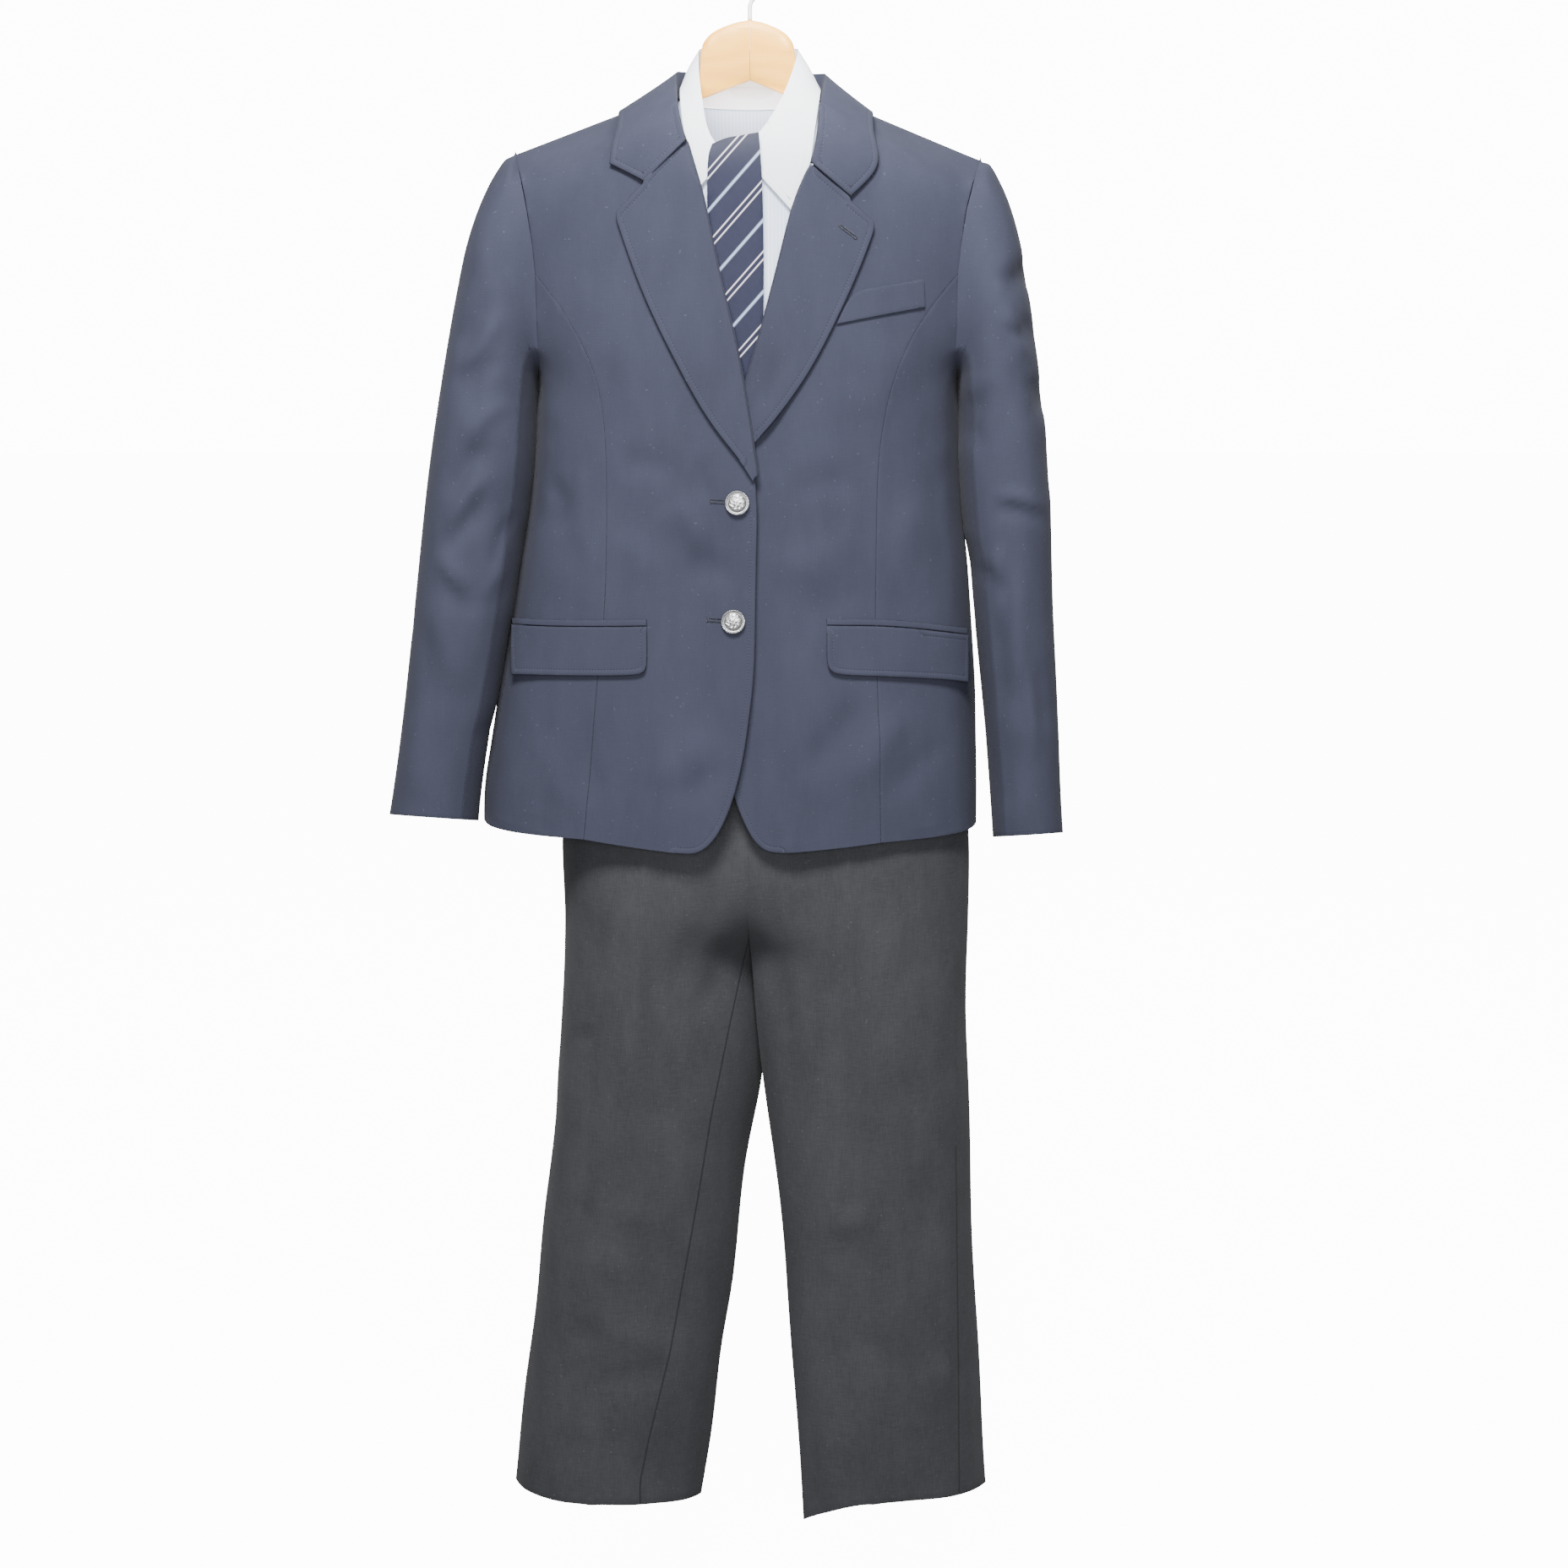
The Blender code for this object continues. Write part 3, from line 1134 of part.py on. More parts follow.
def wire(name, path, radius, colour, roughness, metallic, sides=8):
    """Round wire along a path that lies in the XZ plane."""
    rings = []
    for k, point in enumerate(path):
        ahead = path[min(k + 1, len(path) - 1)] - path[max(k - 1, 0)]
        ahead.normalize()
        across = Vector((0.0, 1.0, 0.0)).cross(ahead)
        ring = []
        for j in range(sides):
            turn = 2.0 * math.pi * j / sides
            out = across * math.cos(turn) + Vector((0.0, math.sin(turn), 0.0))
            ring.append(point + out * radius)
        rings.append(ring)
    closed_tube(name, rings, colour, roughness, metallic)


HOOK_TURN_RADIUS = HOOK_INNER_RADIUS + HOOK_WIRE_RADIUS
hook_path = [Vector((0.0, 0.0, z)) for z in (-57.5, -50.0, -45.0)]
hook_path += [Vector((2.2, 0.0, -41.0)), Vector((7.5, 0.0, -37.0))]
for k in range(15):
    turn = math.radians(-50.0 + 250.0 * k / 14.0)
    x, z = HOOK_TURN_RADIUS * math.cos(turn), HOOK_TURN_RADIUS * math.sin(turn)
    hook_path.append(Vector((x, 0.0, z - HOOK_INNER_RADIUS)))
wire("hanger_hook", hook_path, HOOK_WIRE_RADIUS, (0.85, 0.85, 0.85), 0.4, 0.0)

# Trouser rail: a wire frame below the arms and two clips that grip the waist
RAIL_Z = -512.0
RAIL_WIRE_RADIUS = 1.6
RAIL_LEFT_X = -82.0
RAIL_RIGHT_X = 104.0
rail_path = [Vector((RAIL_LEFT_X, 0.0, z)) for z in (-160.3, -300.0, RAIL_Z + 12.0)]
rail_path += [Vector((RAIL_LEFT_X + 4.0, 0.0, RAIL_Z + 3.5)), Vector((RAIL_LEFT_X + 12.0, 0.0, RAIL_Z))]
rail_path += [Vector((RAIL_RIGHT_X - 12.0, 0.0, RAIL_Z)), Vector((RAIL_RIGHT_X - 4.0, 0.0, RAIL_Z + 3.5))]
rail_path += [Vector((RAIL_RIGHT_X, 0.0, z)) for z in (RAIL_Z + 12.0, -300.0, -169.6)]
wire("hanger_trouser_rail", rail_path, RAIL_WIRE_RADIUS, STEEL_COLOUR, 0.35, 1.0)
CLIP_SECTION = [
    (-8.6, -554.0), (-5.6, -554.0), (-5.6, -531.5), (5.6, -531.5), (5.6, -554.0), (8.6, -554.0),
    (8.6, -522.0), (4.0, -513.9), (-4.0, -513.9), (-8.6, -522.0),
]
for side, x in (("left", -66.0), ("right", 88.0)):
    points = [Vector((x + way * 13.0, y, z)) for way in (-1.0, 1.0) for y, z in CLIP_SECTION]
    count = len(CLIP_SECTION)
    faces = [tuple(range(count)), tuple(range(count, 2 * count))[::-1]]
    faces += [(k, (k + 1) % count, count + (k + 1) % count, count + k) for k in range(count)]
    add_piece("hanger_clip_" + side, points, faces, STEEL_COLOUR, 0.35, 1.0, shade=False)

# Bare neck label on the back of the shirt's collar stand: x and drop of its lower edge
LABEL = [(-17.0, -109.5), (-14.0, -113.5), (0.0, -113.5), (15.0, -113.5), (20.0, -109.5)]
LABEL_TOP_Z = -104.5
LABEL_WALL = 0.8
neck = tree_of(["shirt_collar"])
label_rows = []
for share in (0.0, 1.0):
    row = []
    for x, low_z in LABEL:
        z = mix(LABEL_TOP_Z, low_z, share)
        hit = neck.ray_cast(Vector((x, 0.0, z)), Vector((0.0, 1.0, 0.0)), 80.0)[0]
        row.append(Vector((x, hit.y - LAYER_GAP, z)))
    label_rows.append(row)
label_front = [[p - Vector((0.0, LABEL_WALL, 0.0)) for p in row] for row in label_rows]
sheet("shirt_neck_label", label_front, label_rows, SHIRT_WHITE, 0.6)
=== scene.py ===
import math

import bmesh
import bpy
import numpy as np
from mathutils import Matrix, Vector
from mathutils.bvhtree import BVHTree
from mathutils.kdtree import KDTree


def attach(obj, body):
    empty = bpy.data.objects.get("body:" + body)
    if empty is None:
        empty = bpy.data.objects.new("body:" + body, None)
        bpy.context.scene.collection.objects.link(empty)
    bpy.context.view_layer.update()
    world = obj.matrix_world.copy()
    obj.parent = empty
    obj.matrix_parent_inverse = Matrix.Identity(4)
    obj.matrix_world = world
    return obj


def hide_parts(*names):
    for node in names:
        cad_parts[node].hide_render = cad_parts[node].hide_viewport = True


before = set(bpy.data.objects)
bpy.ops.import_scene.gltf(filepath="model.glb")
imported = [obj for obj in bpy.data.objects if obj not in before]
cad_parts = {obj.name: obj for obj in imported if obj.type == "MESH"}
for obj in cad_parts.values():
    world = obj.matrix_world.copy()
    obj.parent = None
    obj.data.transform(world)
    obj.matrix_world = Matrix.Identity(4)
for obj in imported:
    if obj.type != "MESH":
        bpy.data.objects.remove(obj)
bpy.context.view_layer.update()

# Camera and studio
# The uniform hangs free in an even pale surround over a pale floor. The camera stands at chest height and
# looks slightly down. A lamp above it models the folds, and small lamps light the neck.
MM = 0.001
SURROUND_COLOUR = (0.97, 0.97, 0.98, 1.0)
SURROUND_SEEN = 14.0
SURROUND_LIGHT = 0.45
FLOOR_SEEN = 13.0
FLOOR_RADIUS = 60.0
FLOOR_HEIGHT = -1.52
camera_data = bpy.data.cameras.new("camera")
camera_data.sensor_width = 36.0
camera_data.lens = 48.63
camera = bpy.data.objects.new("camera", camera_data)
camera.location = (0.0273, -1.777, -0.365)
camera.rotation_euler = (math.radians(80.0), 0.0, 0.0)
bpy.context.scene.collection.objects.link(camera)
bpy.context.scene.camera = camera

surround = bpy.data.worlds.new("surround")
surround.use_nodes = True
background = surround.node_tree.nodes["Background"]
background.inputs["Color"].default_value = SURROUND_COLOUR
path = surround.node_tree.nodes.new("ShaderNodeLightPath")
level = surround.node_tree.nodes.new("ShaderNodeMapRange")
level.inputs["To Min"].default_value = SURROUND_LIGHT
level.inputs["To Max"].default_value = SURROUND_SEEN
surround.node_tree.links.new(path.outputs["Is Camera Ray"], level.inputs["Value"])
surround.node_tree.links.new(level.outputs["Result"], background.inputs["Strength"])
bpy.context.scene.world = surround


def lamp(name, place, aim, size, power):
    data = bpy.data.lights.new(name, "AREA")
    data.shape = "RECTANGLE"
    data.size = size[0]
    data.size_y = size[1]
    data.energy = power
    made = bpy.data.objects.new(name, data)
    made.location = place
    made.rotation_euler = (Vector(aim) - Vector(place)).to_track_quat("-Z", "Y").to_euler()
    made.visible_camera = False
    bpy.context.scene.collection.objects.link(made)


lamp("key", (-0.12, -1.30, 1.05), (0.0, 0.0, -0.45), (0.7, 0.5), 98.0)
lamp("front", (0.03, -2.10, -0.30), (0.0, 0.0, -0.30), (0.9, 0.7), 34.0)
lamp("collar", (0.025, -0.11, 0.035), (0.015, 0.03, -0.15), (0.08, 0.05), 0.6)
lamp("neck", (0.005, -0.014, -0.126), (0.003, 0.04, -0.142), (0.06, 0.012), 0.08)
lamp("back", (0.4, 2.6, 1.2), (0.0, 0.0, -0.6), (2.2, 1.6), 20.0)

build = bmesh.new()
bmesh.ops.create_circle(build, cap_ends=True, segments=48, radius=FLOOR_RADIUS)
bmesh.ops.translate(build, verts=build.verts, vec=(0.0, 0.0, FLOOR_HEIGHT))
floor_mesh = bpy.data.meshes.new("pale_floor")
build.to_mesh(floor_mesh)
build.free()
floor_finish = bpy.data.materials.new("pale_floor")
floor_finish.use_nodes = True
floor_inputs = floor_finish.node_tree.nodes["Principled BSDF"].inputs
floor_inputs["Base Color"].default_value = (0.86, 0.86, 0.85, 1.0)
floor_inputs["Roughness"].default_value = 0.9
floor_inputs["Emission Color"].default_value = SURROUND_COLOUR
floor_inputs["Emission Strength"].default_value = FLOOR_SEEN
floor_mesh.materials.append(floor_finish)
floor = bpy.data.objects.new("pale_floor", floor_mesh)
floor.visible_diffuse = False
floor.visible_glossy = False
bpy.context.scene.collection.objects.link(floor)


class Number:
    """A value in a material's nodes that takes part in arithmetic."""

    def __init__(self, finish, socket):
        self.finish = finish
        self.socket = socket

    def math(self, operation, *values):
        return self.finish.node("ShaderNodeMath", {"operation": operation}, values)

    def __add__(self, other):
        return self.math("ADD", self, other)

    def __sub__(self, other):
        return self.math("SUBTRACT", self, other)

    def __rsub__(self, other):
        return self.math("SUBTRACT", other, self)

    def __mul__(self, other):
        return self.math("MULTIPLY", self, other)

    def __truediv__(self, other):
        return self.math("DIVIDE", self, other)

    __radd__ = __add__
    __rmul__ = __mul__

    def of(self, operation, *others):
        return self.math(operation, self, *others)

    def step(self, low, high):
        """Rises smoothly from 0 at low to 1 at high."""
        settings = {"interpolation_type": "SMOOTHSTEP"}
        return self.finish.node("ShaderNodeMapRange", settings, {0: self, 1: low, 2: high, 3: 0.0, 4: 1.0})

    def line(self, centre, width):
        """1 on a soft line at centre, 0 beyond its width."""
        return 1.0 - ((self - centre).of("ABSOLUTE") / width).step(0.0, 1.0)


class Finish:
    """A material built from nodes round one Principled shader."""

    def __init__(self, name, roughness, **constants):
        self.material = bpy.data.materials.new(name)
        self.material.use_nodes = True
        self.tree = self.material.node_tree
        self.shader = self.tree.nodes["Principled BSDF"]
        self.shader.inputs["Roughness"].default_value = roughness
        for socket, value in constants.items():
            self.shader.inputs[socket.replace("_", " ")].default_value = value

    def node(self, kind, settings=None, values=(), output=0):
        """Adds a node: its settings first, then the values or links of its sockets."""
        made = self.tree.nodes.new(kind)
        for key, value in (settings or {}).items():
            setattr(made, key, value)
        pairs = values.items() if isinstance(values, dict) else enumerate(values)
        for socket, value in pairs:
            if isinstance(value, Number):
                self.tree.links.new(value.socket, made.inputs[socket])
            else:
                made.inputs[socket].default_value = value
        return Number(self, made.outputs[output])

    def place(self):
        """Object coordinates in millimetres, as (x, y, z) values and the vector itself."""
        point = self.node("ShaderNodeTexCoord", output=3)
        scaled = self.node("ShaderNodeVectorMath", {"operation": "SCALE"}, {0: point, 3: 1000.0})
        return scaled, [self.node("ShaderNodeSeparateXYZ", None, [scaled], k) for k in range(3)]

    def noise(self, point, scale, detail=2.0, stretch=(1.0, 1.0, 1.0)):
        """Noise from 0 to 1 over a point in millimetres, with cells about 1/scale long."""
        if stretch != (1.0, 1.0, 1.0):
            point = self.node("ShaderNodeVectorMath", {"operation": "MULTIPLY"}, [point, stretch])
        return self.node("ShaderNodeTexNoise", None, {"Vector": point, "Scale": scale, "Detail": detail})

    def attribute(self, name):
        return self.node("ShaderNodeAttribute", {"attribute_name": name}, output=2)

    def blend(self, share, first, second):
        settings = {"data_type": "RGBA", "clamp_factor": True}
        return self.node("ShaderNodeMix", settings, {0: share, 6: first, 7: second}, 2)

    def set(self, colour=None, height=None, roughness=None, depth=0.0002):
        """Links what varies over the surface. Height is in units of depth, in metres."""
        if colour is not None:
            self.tree.links.new(colour.socket, self.shader.inputs["Base Color"])
        if roughness is not None:
            self.tree.links.new(roughness.socket, self.shader.inputs["Roughness"])
        if height is not None:
            bump = self.node("ShaderNodeBump", None, {"Strength": 1.0, "Distance": depth, "Height": height})
            self.tree.links.new(bump.socket, self.shader.inputs["Normal"])
        return self.material


# Hanger arms
# Two sawn and sanded wooden halves glued at the centre under a clear satin varnish. The grain runs along
# each arm, and the round-nosed neck above the collar carries the hook.
def merged_copy(node):
    """A bmesh of a frame node's mesh, with its corners joined and its triangles paired."""
    build = bmesh.new()
    build.from_mesh(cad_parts[node].data)
    bmesh.ops.remove_doubles(build, verts=build.verts, dist=1e-6)
    bmesh.ops.join_triangles(
        build, faces=build.faces, angle_face_threshold=0.8, angle_shape_threshold=1.2,
        cmp_seam=False, cmp_sharp=False, cmp_uvs=False, cmp_vcols=False, cmp_materials=False,
    )
    return build


def finished(name, build, material, nodes, smooth=True):
    """A shown piece from a bmesh, riding on the one body in place of its nodes."""
    mesh = bpy.data.meshes.new(name)
    build.to_mesh(mesh)
    build.free()
    mesh.materials.clear()
    mesh.materials.append(material)
    for polygon in mesh.polygons:
        polygon.use_smooth = smooth
    piece = bpy.data.objects.new(name, mesh)
    bpy.context.scene.collection.objects.link(piece)
    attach(piece, "root")
    if nodes:
        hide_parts(*nodes)
    return piece


def sharp_edges(build, least=1.05):
    return [e for e in build.edges if len(e.link_faces) == 2 and e.calc_face_angle(0.0) > least]


def smoothed(build, levels, least=1.05, pinned=None):
    """Rounds a bmesh by subdivision but keeps its sharp rims, with pinned corners along them in place."""
    crease = build.edges.layers.float.new("crease_edge")
    corner = build.verts.layers.float.new("crease_vert")
    for edge in sharp_edges(build, least):
        edge[crease] = 1.0
        for vert in edge.verts:
            if pinned and pinned(vert.co / MM):
                vert[corner] = 1.0
    mesh = bpy.data.meshes.new("work")
    build.to_mesh(mesh)
    build.free()
    work = bpy.data.objects.new("work", mesh)
    bpy.context.scene.collection.objects.link(work)
    rounded = work.modifiers.new("round", "SUBSURF")
    rounded.levels = levels
    rounded.render_levels = levels
    bpy.context.view_layer.update()
    done = bpy.data.meshes.new_from_object(work.evaluated_get(bpy.context.evaluated_depsgraph_get()))
    bpy.data.objects.remove(work)
    build = bmesh.new()
    build.from_mesh(done)
    bpy.data.meshes.remove(done)
    return build


def soften_rims(build, width, least=1.05):
    bmesh.ops.bevel(
        build, geom=sharp_edges(build, least), offset=width * MM, segments=2,
        affect="EDGES", profile=0.5, material=-1, clamp_overlap=True,
    )


wood = Finish("varnished_wood", 0.55, Specular_IOR_Level=0.3, Coat_Weight=0.05, Coat_Roughness=0.3)
point, (x, y, z) = wood.place()
grain_height = z - x.of("ABSOLUTE") * -0.30
rings = wood.noise(point, 0.020, 2.0, (0.35, 1.0, 1.0)) * 46.0 + grain_height * 0.55
growth = (rings * 0.62).of("SINE") * 0.5 + 0.5
pores = wood.noise(point, 1.0, 2.0, (0.045, 0.9, 0.9)).step(0.56, 0.74)
pale = wood.blend(growth * 0.5, (0.98, 0.50, 0.062, 1.0), (0.88, 0.38, 0.038, 1.0))
tone = wood.blend(pores * 0.35, pale, (0.60, 0.25, 0.026, 1.0))
wood.set(tone, growth * 0.3 - pores * 0.6, pores * 0.12 + 0.38, 0.00008)

for side in ("left", "right"):
    build = smoothed(merged_copy("hanger_arm_" + side), 2, 0.6)
    soften_rims(build, 0.9, 0.7)
    finished("wooden_arm_" + side, build, wood.material, ["hanger_arm_" + side])

# Hook, rail and clips
# The hook is steel wire under white paint, screwed into the wood. The rail below the arms is bare steel
# wire, and its two folded clips grip the trousers' waist.
paint = Finish("white_hook_paint", 0.34, Coat_Weight=0.3)
point, _ = paint.place()
patches = paint.noise(point, 0.25, 3.0)
paint.set(
    paint.blend(patches.step(0.45, 0.75) * 0.5, (0.82, 0.83, 0.83, 1.0), (0.70, 0.71, 0.72, 1.0)),
    paint.noise(point, 1.4), patches * 0.15 + 0.27, 0.00005,
)
steel = Finish("bright_steel_wire", 0.30, Metallic=1.0)
point, _ = steel.place()
drawn = steel.noise(point, 1.2, 2.0, (0.2, 1.0, 1.0))
steel.set(
    steel.blend(drawn, (0.46, 0.46, 0.47, 1.0), (0.62, 0.62, 0.63, 1.0)), drawn, drawn * 0.2 + 0.22, 0.00003
)
build = smoothed(merged_copy("hanger_hook"), 2)
finished("wire_hook", build, paint.material, ["hanger_hook"])
build = smoothed(merged_copy("hanger_trouser_rail"), 1)
finished("wire_rail", build, steel.material, ["hanger_trouser_rail"])
for side in ("left", "right"):
    build = merged_copy("hanger_clip_" + side)
    soften_rims(build, 0.6, 0.5)
    finished("rail_clip_" + side, build, steel.material, ["hanger_clip_" + side])

# Trousers
# Charcoal wool-blend trousers in a fine two-tone weave. Each leg is a front and a back panel sewn at the
# side and the inseam, and the centre seat seam joins the legs. A pressed crease runs down each front.
def suiting(name, dark, light, streak, sheen):
    """A woven wool-blend cloth with fine warp and weft streaks, soft wear and topstitching by its rims. Its
    stitch grooves, seam lines and kept rims are darkened as painted shade.
    """
    cloth = Finish(name, 0.88, Sheen_Weight=sheen, Sheen_Roughness=0.45, Specular_IOR_Level=0.22)
    point, _ = cloth.place()
    warp = cloth.noise(point, 1.0, 3.0, (1.25, 1.25, 0.10))
    weft = cloth.noise(point, 1.0, 3.0, (0.12, 0.12, 1.35))
    slub = cloth.noise(point, 0.06, 2.0, (1.0, 1.0, 0.35))
    nap = cloth.noise(point, 0.011, 3.0)
    threads = (warp + weft) * 0.5
    edge, run = cloth.attribute("edge_mm"), cloth.attribute("run_mm")
    near = (edge - 0.01).step(0.0, 0.2)
    groove = edge.line(STITCH_INSET, 1.0) * near
    stitch = groove * ((run * (2.0 * math.pi / STITCH_LENGTH)).of("SINE")).step(-0.7, 0.2)
    welt = edge.line(STITCH_INSET * 0.45, STITCH_INSET * 0.62) * near
    # Seam lines and a thin line at the kept rims, which are darkened below as painted shade.
    shaded_seam_and_rim = cloth.attribute("seam_mm").line(SEAM_MARK, 1.3) + edge.line(0.1, 0.7) * near
    lint = cloth.noise(point, 0.42, 0.0).step(0.815, 0.835)
    share = (threads - 0.5) * streak + (slub - 0.5) * 0.5 + (nap - 0.5) * 0.7 + 0.5
    tone = cloth.blend(share, dark, light)
    # Painted shade: the stitch grooves, the seam lines and the kept rims are darkened as if shadowed in
    # their recesses.
    tone = cloth.blend(groove * 0.28 + shaded_seam_and_rim * 0.7, tone, tuple(c * 0.45 for c in dark[:3]) + (1.0,))
    tone = cloth.blend(stitch * 0.2 + lint * 0.25, tone, tuple(c * 2.2 for c in light[:3]) + (1.0,))
    height = threads * 0.55 + welt * 1.5 - groove * 1.2 + stitch * 0.7 - shaded_seam_and_rim * 2.4
    cloth.set(tone, height, nap * 0.10 + 0.82, 0.00018)
    return cloth.material


def folds(points, rows):
    """How far cloth stands out at points, from rows of start x, z, end x, z, width and height."""
    total = np.zeros(len(points))
    for start_x, start_z, end_x, end_z, width, height in rows:
        way = np.array((end_x - start_x, end_z - start_z))
        length = np.hypot(*way)
        offset = points[:, (0, 2)] - np.array((start_x, start_z))
        along = offset @ way / length
        across = (offset[:, 0] * way[1] - offset[:, 1] * way[0]) / length
        across -= 0.3 * width * np.sin(along / length * 5.3 + start_x * 0.37)
        end = np.clip(np.minimum(along, length - along) / (0.38 * length), 0.0, 1.0)
        uneven = 0.8 + 0.2 * np.sin(along / 17.0 + start_z)
        total += height * end * end * (3.0 - 2.0 * end) * uneven * np.exp(-((across / width) ** 2))
    return total


def shares(build):
    """Points of a bmesh in millimetres."""
    return np.array([v.co for v in build.verts]) / MM


def outward(points, centre, half):
    """Level direction out of an upright oval, from its centre and half sizes in x and y."""
    way = np.zeros_like(points)
    way[:, 0] = (points[:, 0] - centre[0]) / half[0] ** 2
    way[:, 1] = (points[:, 1] - centre[1]) / half[1] ** 2
    return way / np.maximum(np.linalg.norm(way, axis=1, keepdims=True), 1e-9)


def shift(build, moves):
    for vert, move in zip(build.verts, moves * MM):
        vert.co += Vector(move)


def rim_guide(build, keep):
    """Points along the kept rims, each with its distance run, for marking stitch lines and a thin line of
    painted shade at the rims.
    """
    left = dict.fromkeys(e for e in sharp_edges(build) if keep((e.verts[0].co + e.verts[1].co) * 0.5 / MM))
    marks = []
    while left:
        ends = [v for e in left for v in e.verts if sum(o in left for o in v.link_edges) == 1]
        vert = ends[0] if ends else next(iter(left)).verts[0]
        run = 0.0
        edge = next((e for e in vert.link_edges if e in left), None)
        while edge is not None:
            del left[edge]
            other = edge.other_vert(vert)
            length = (other.co - vert.co).length
            steps = max(1, round(length / MM))
            for k in range(steps):
                marks.append((vert.co.lerp(other.co, k / steps), (run + length * k / steps) / MM))
            run += length
            vert = other
            edge = next((e for e in vert.link_edges if e in left), None)
    tree = KDTree(len(marks))
    for k, (point, _) in enumerate(marks):
        tree.insert(point, k)
    tree.balance()
    return tree, [run for _, run in marks]


def mark_rims(build, tree, runs):
    """Stores each point's distance from the kept rims, and how far along them it lies, in millimetres."""
    edge_layer = build.verts.layers.float.new("edge_mm")
    run_layer = build.verts.layers.float.new("run_mm")
    for vert in build.verts:
        _, k, distance = tree.find(vert.co)
        vert[edge_layer] = distance / MM + 0.2
        vert[run_layer] = runs[k]


def by_armhole(point):
    return point.z > -345.0 and abs(point.x) > 150.0


def cloth_piece(name, node, material, levels, form, rim=0.6, keep=None):
    """A cloth panel on its frame node: rounded, creased by its form, its rims softened and marked."""
    build = smoothed(merged_copy(node), levels, pinned=by_armhole)
    shift(build, form(shares(build)))
    guide = rim_guide(build, keep) if keep else None
    soften_rims(build, rim)
    if guide:
        mark_rims(build, *guide)
    piece = finished(name, build, material, [node])
    return piece


STITCH_INSET = 5.0
STITCH_LENGTH = 2.6
SEAM_MARK = 1000.0
charcoal = suiting(
    "charcoal_suiting", (0.0215, 0.0222, 0.0250, 1.0), (0.0450, 0.0465, 0.0525, 1.0), 1.5, 0.04
)

LEG_CENTRE = {
    "left": ((-1330, -740, -600), (-133, -82, -66)),
    "right": ((-1330, -740, -600), (128, 92, 88)),
}
# Pressed front crease by leg: z, x
LEG_CREASE = {
    "left": ((-1316, -1255, -1138, -1000, -880, -725, -600), (-143, -137, -126, -113, -100, -87, -72)),
    "right": ((-1308, -1194, -1075, -935, -838, -725, -600), (107, 98.8, 95.5, 90, 84.8, 80, 86)),
}
TROUSER_FOLDS = {
    "left": [
        (-30, -745, -60, -830, 16, -2.6), (-12, -800, -52, -880, 12, -2.4),
        (-150, -760, -120, -850, 18, -1.6),
        (-60, -1000, -40, -1090, 13, -2.0), (-150, -1080, -90, -1110, 14, 1.6),
        (-170, -1150, -100, -1165, 12, -1.5),
        (-70, -1150, -60, -1240, 12, 1.8), (-190, -1235, -120, -1250, 12, 1.4),
        (-120, -940, -60, -960, 14, -1.4),
        (-100, -1265, -70, -1320, 12, -1.6), (-170, -900, -150, -990, 13, 1.4),
        (-146, -1153, -61, -1172, 12, 2.6),
        (-150, -1195, -60, -1205, 12, -1.8), (-180, -1203, -146, -1165, 7, 1.8),
        (-151, -885, -134, -897, 9, -1.8),
        (-157, -1044, -130, -1050, 9, -1.6), (-130, -1042, -60, -1060, 10, 1.6),
        (-104, -790, -98, -960, 24, 2.4),
    ],
    "right": [
        (24, -750, 52, -840, 16, -2.4), (10, -820, 40, -900, 12, -2.2), (165, -770, 140, -860, 18, -1.6),
        (130, -1000, 170, -1090, 14, -1.6), (60, -1050, 130, -1075, 14, 1.5),
        (80, -1160, 150, -1175, 12, -1.5),
        (150, -1180, 190, -1230, 12, 1.8), (60, -1230, 70, -1320, 12, 1.5),
        (110, -930, 160, -950, 14, -1.4),
        (165, -1000, 178, -1120, 9, 1.6), (175, -1191, 186, -1216, 5, -2.6),
        (168, -1186, 178, -1214, 5, 1.6),
        (53, -1050, 115, -1048, 8, 2.0), (50, -760, 35, -930, 20, 2.8), (70, -860, 72, -960, 14, -1.8),
        (112, -960, 104, -1130, 20, -1.8),
    ],
}


LEG_EASE = 1.35


def leg_form(side):
    def form(points):
        centre_x = np.interp(points[:, 2], *LEG_CENTRE[side])
        out = outward(points, (centre_x, -2.0), (80.0, 55.0))
        front = np.clip(-out[:, 1], 0.0, 1.0)
        level = np.clip((-670.0 - points[:, 2]) / 60.0, 0.0, 1.0)
        crease = points[:, 0] - np.interp(points[:, 2], *LEG_CREASE[side])
        amount = LEG_EASE * folds(points, TROUSER_FOLDS[side]) * (0.3 + 0.7 * front)
        amount += 2.2 * np.exp(-np.abs(crease) / 5.0) * np.abs(out[:, 1])
        amount += 0.8 + 0.7 * np.sin(points[:, 2] / 31.0 + points[:, 0] / 23.0)
        amount += 0.5 * np.sin(points[:, 0] / 9.0 + 1.3)
        return out * (amount * level)[:, None]
    return form


# Seams that wander onto the front of a leg, shown as lines of painted shade: z, x
LEG_SEAM = {
    "left": ((-1300, -1260, -1176, -1043, -963, -884, -840, -802), (-100, -92, -72, -48, -35, -19, -9, -1)),
    "right": ((-1301, -1195, -989), (183, 181, 176)),
}


def mark_seam(piece, line):
    """Stores how far each point lies beside a seam line, in millimetres from SEAM_MARK. The cloth paints a
    dark line of shade along it.
    """
    marks = piece.data.attributes.new("seam_mm", "FLOAT", "POINT")
    for vert, mark in zip(piece.data.vertices, marks.data):
        x, y, z = vert.co / MM
        beside = x - np.interp(z, *line)
        past = max(0.0, z - line[0][-1]) + max(0.0, y)
        mark.value = SEAM_MARK + beside + math.copysign(6.0 * past, beside)


for side in ("left", "right"):
    for face in ("front", "back"):
        piece = cloth_piece(
            f"{side}_leg_{face}", f"trousers_{face}_{side}", charcoal, 3, leg_form(side),
            0.5,
        )
        if face == "front":
            mark_seam(piece, LEG_SEAM[side])

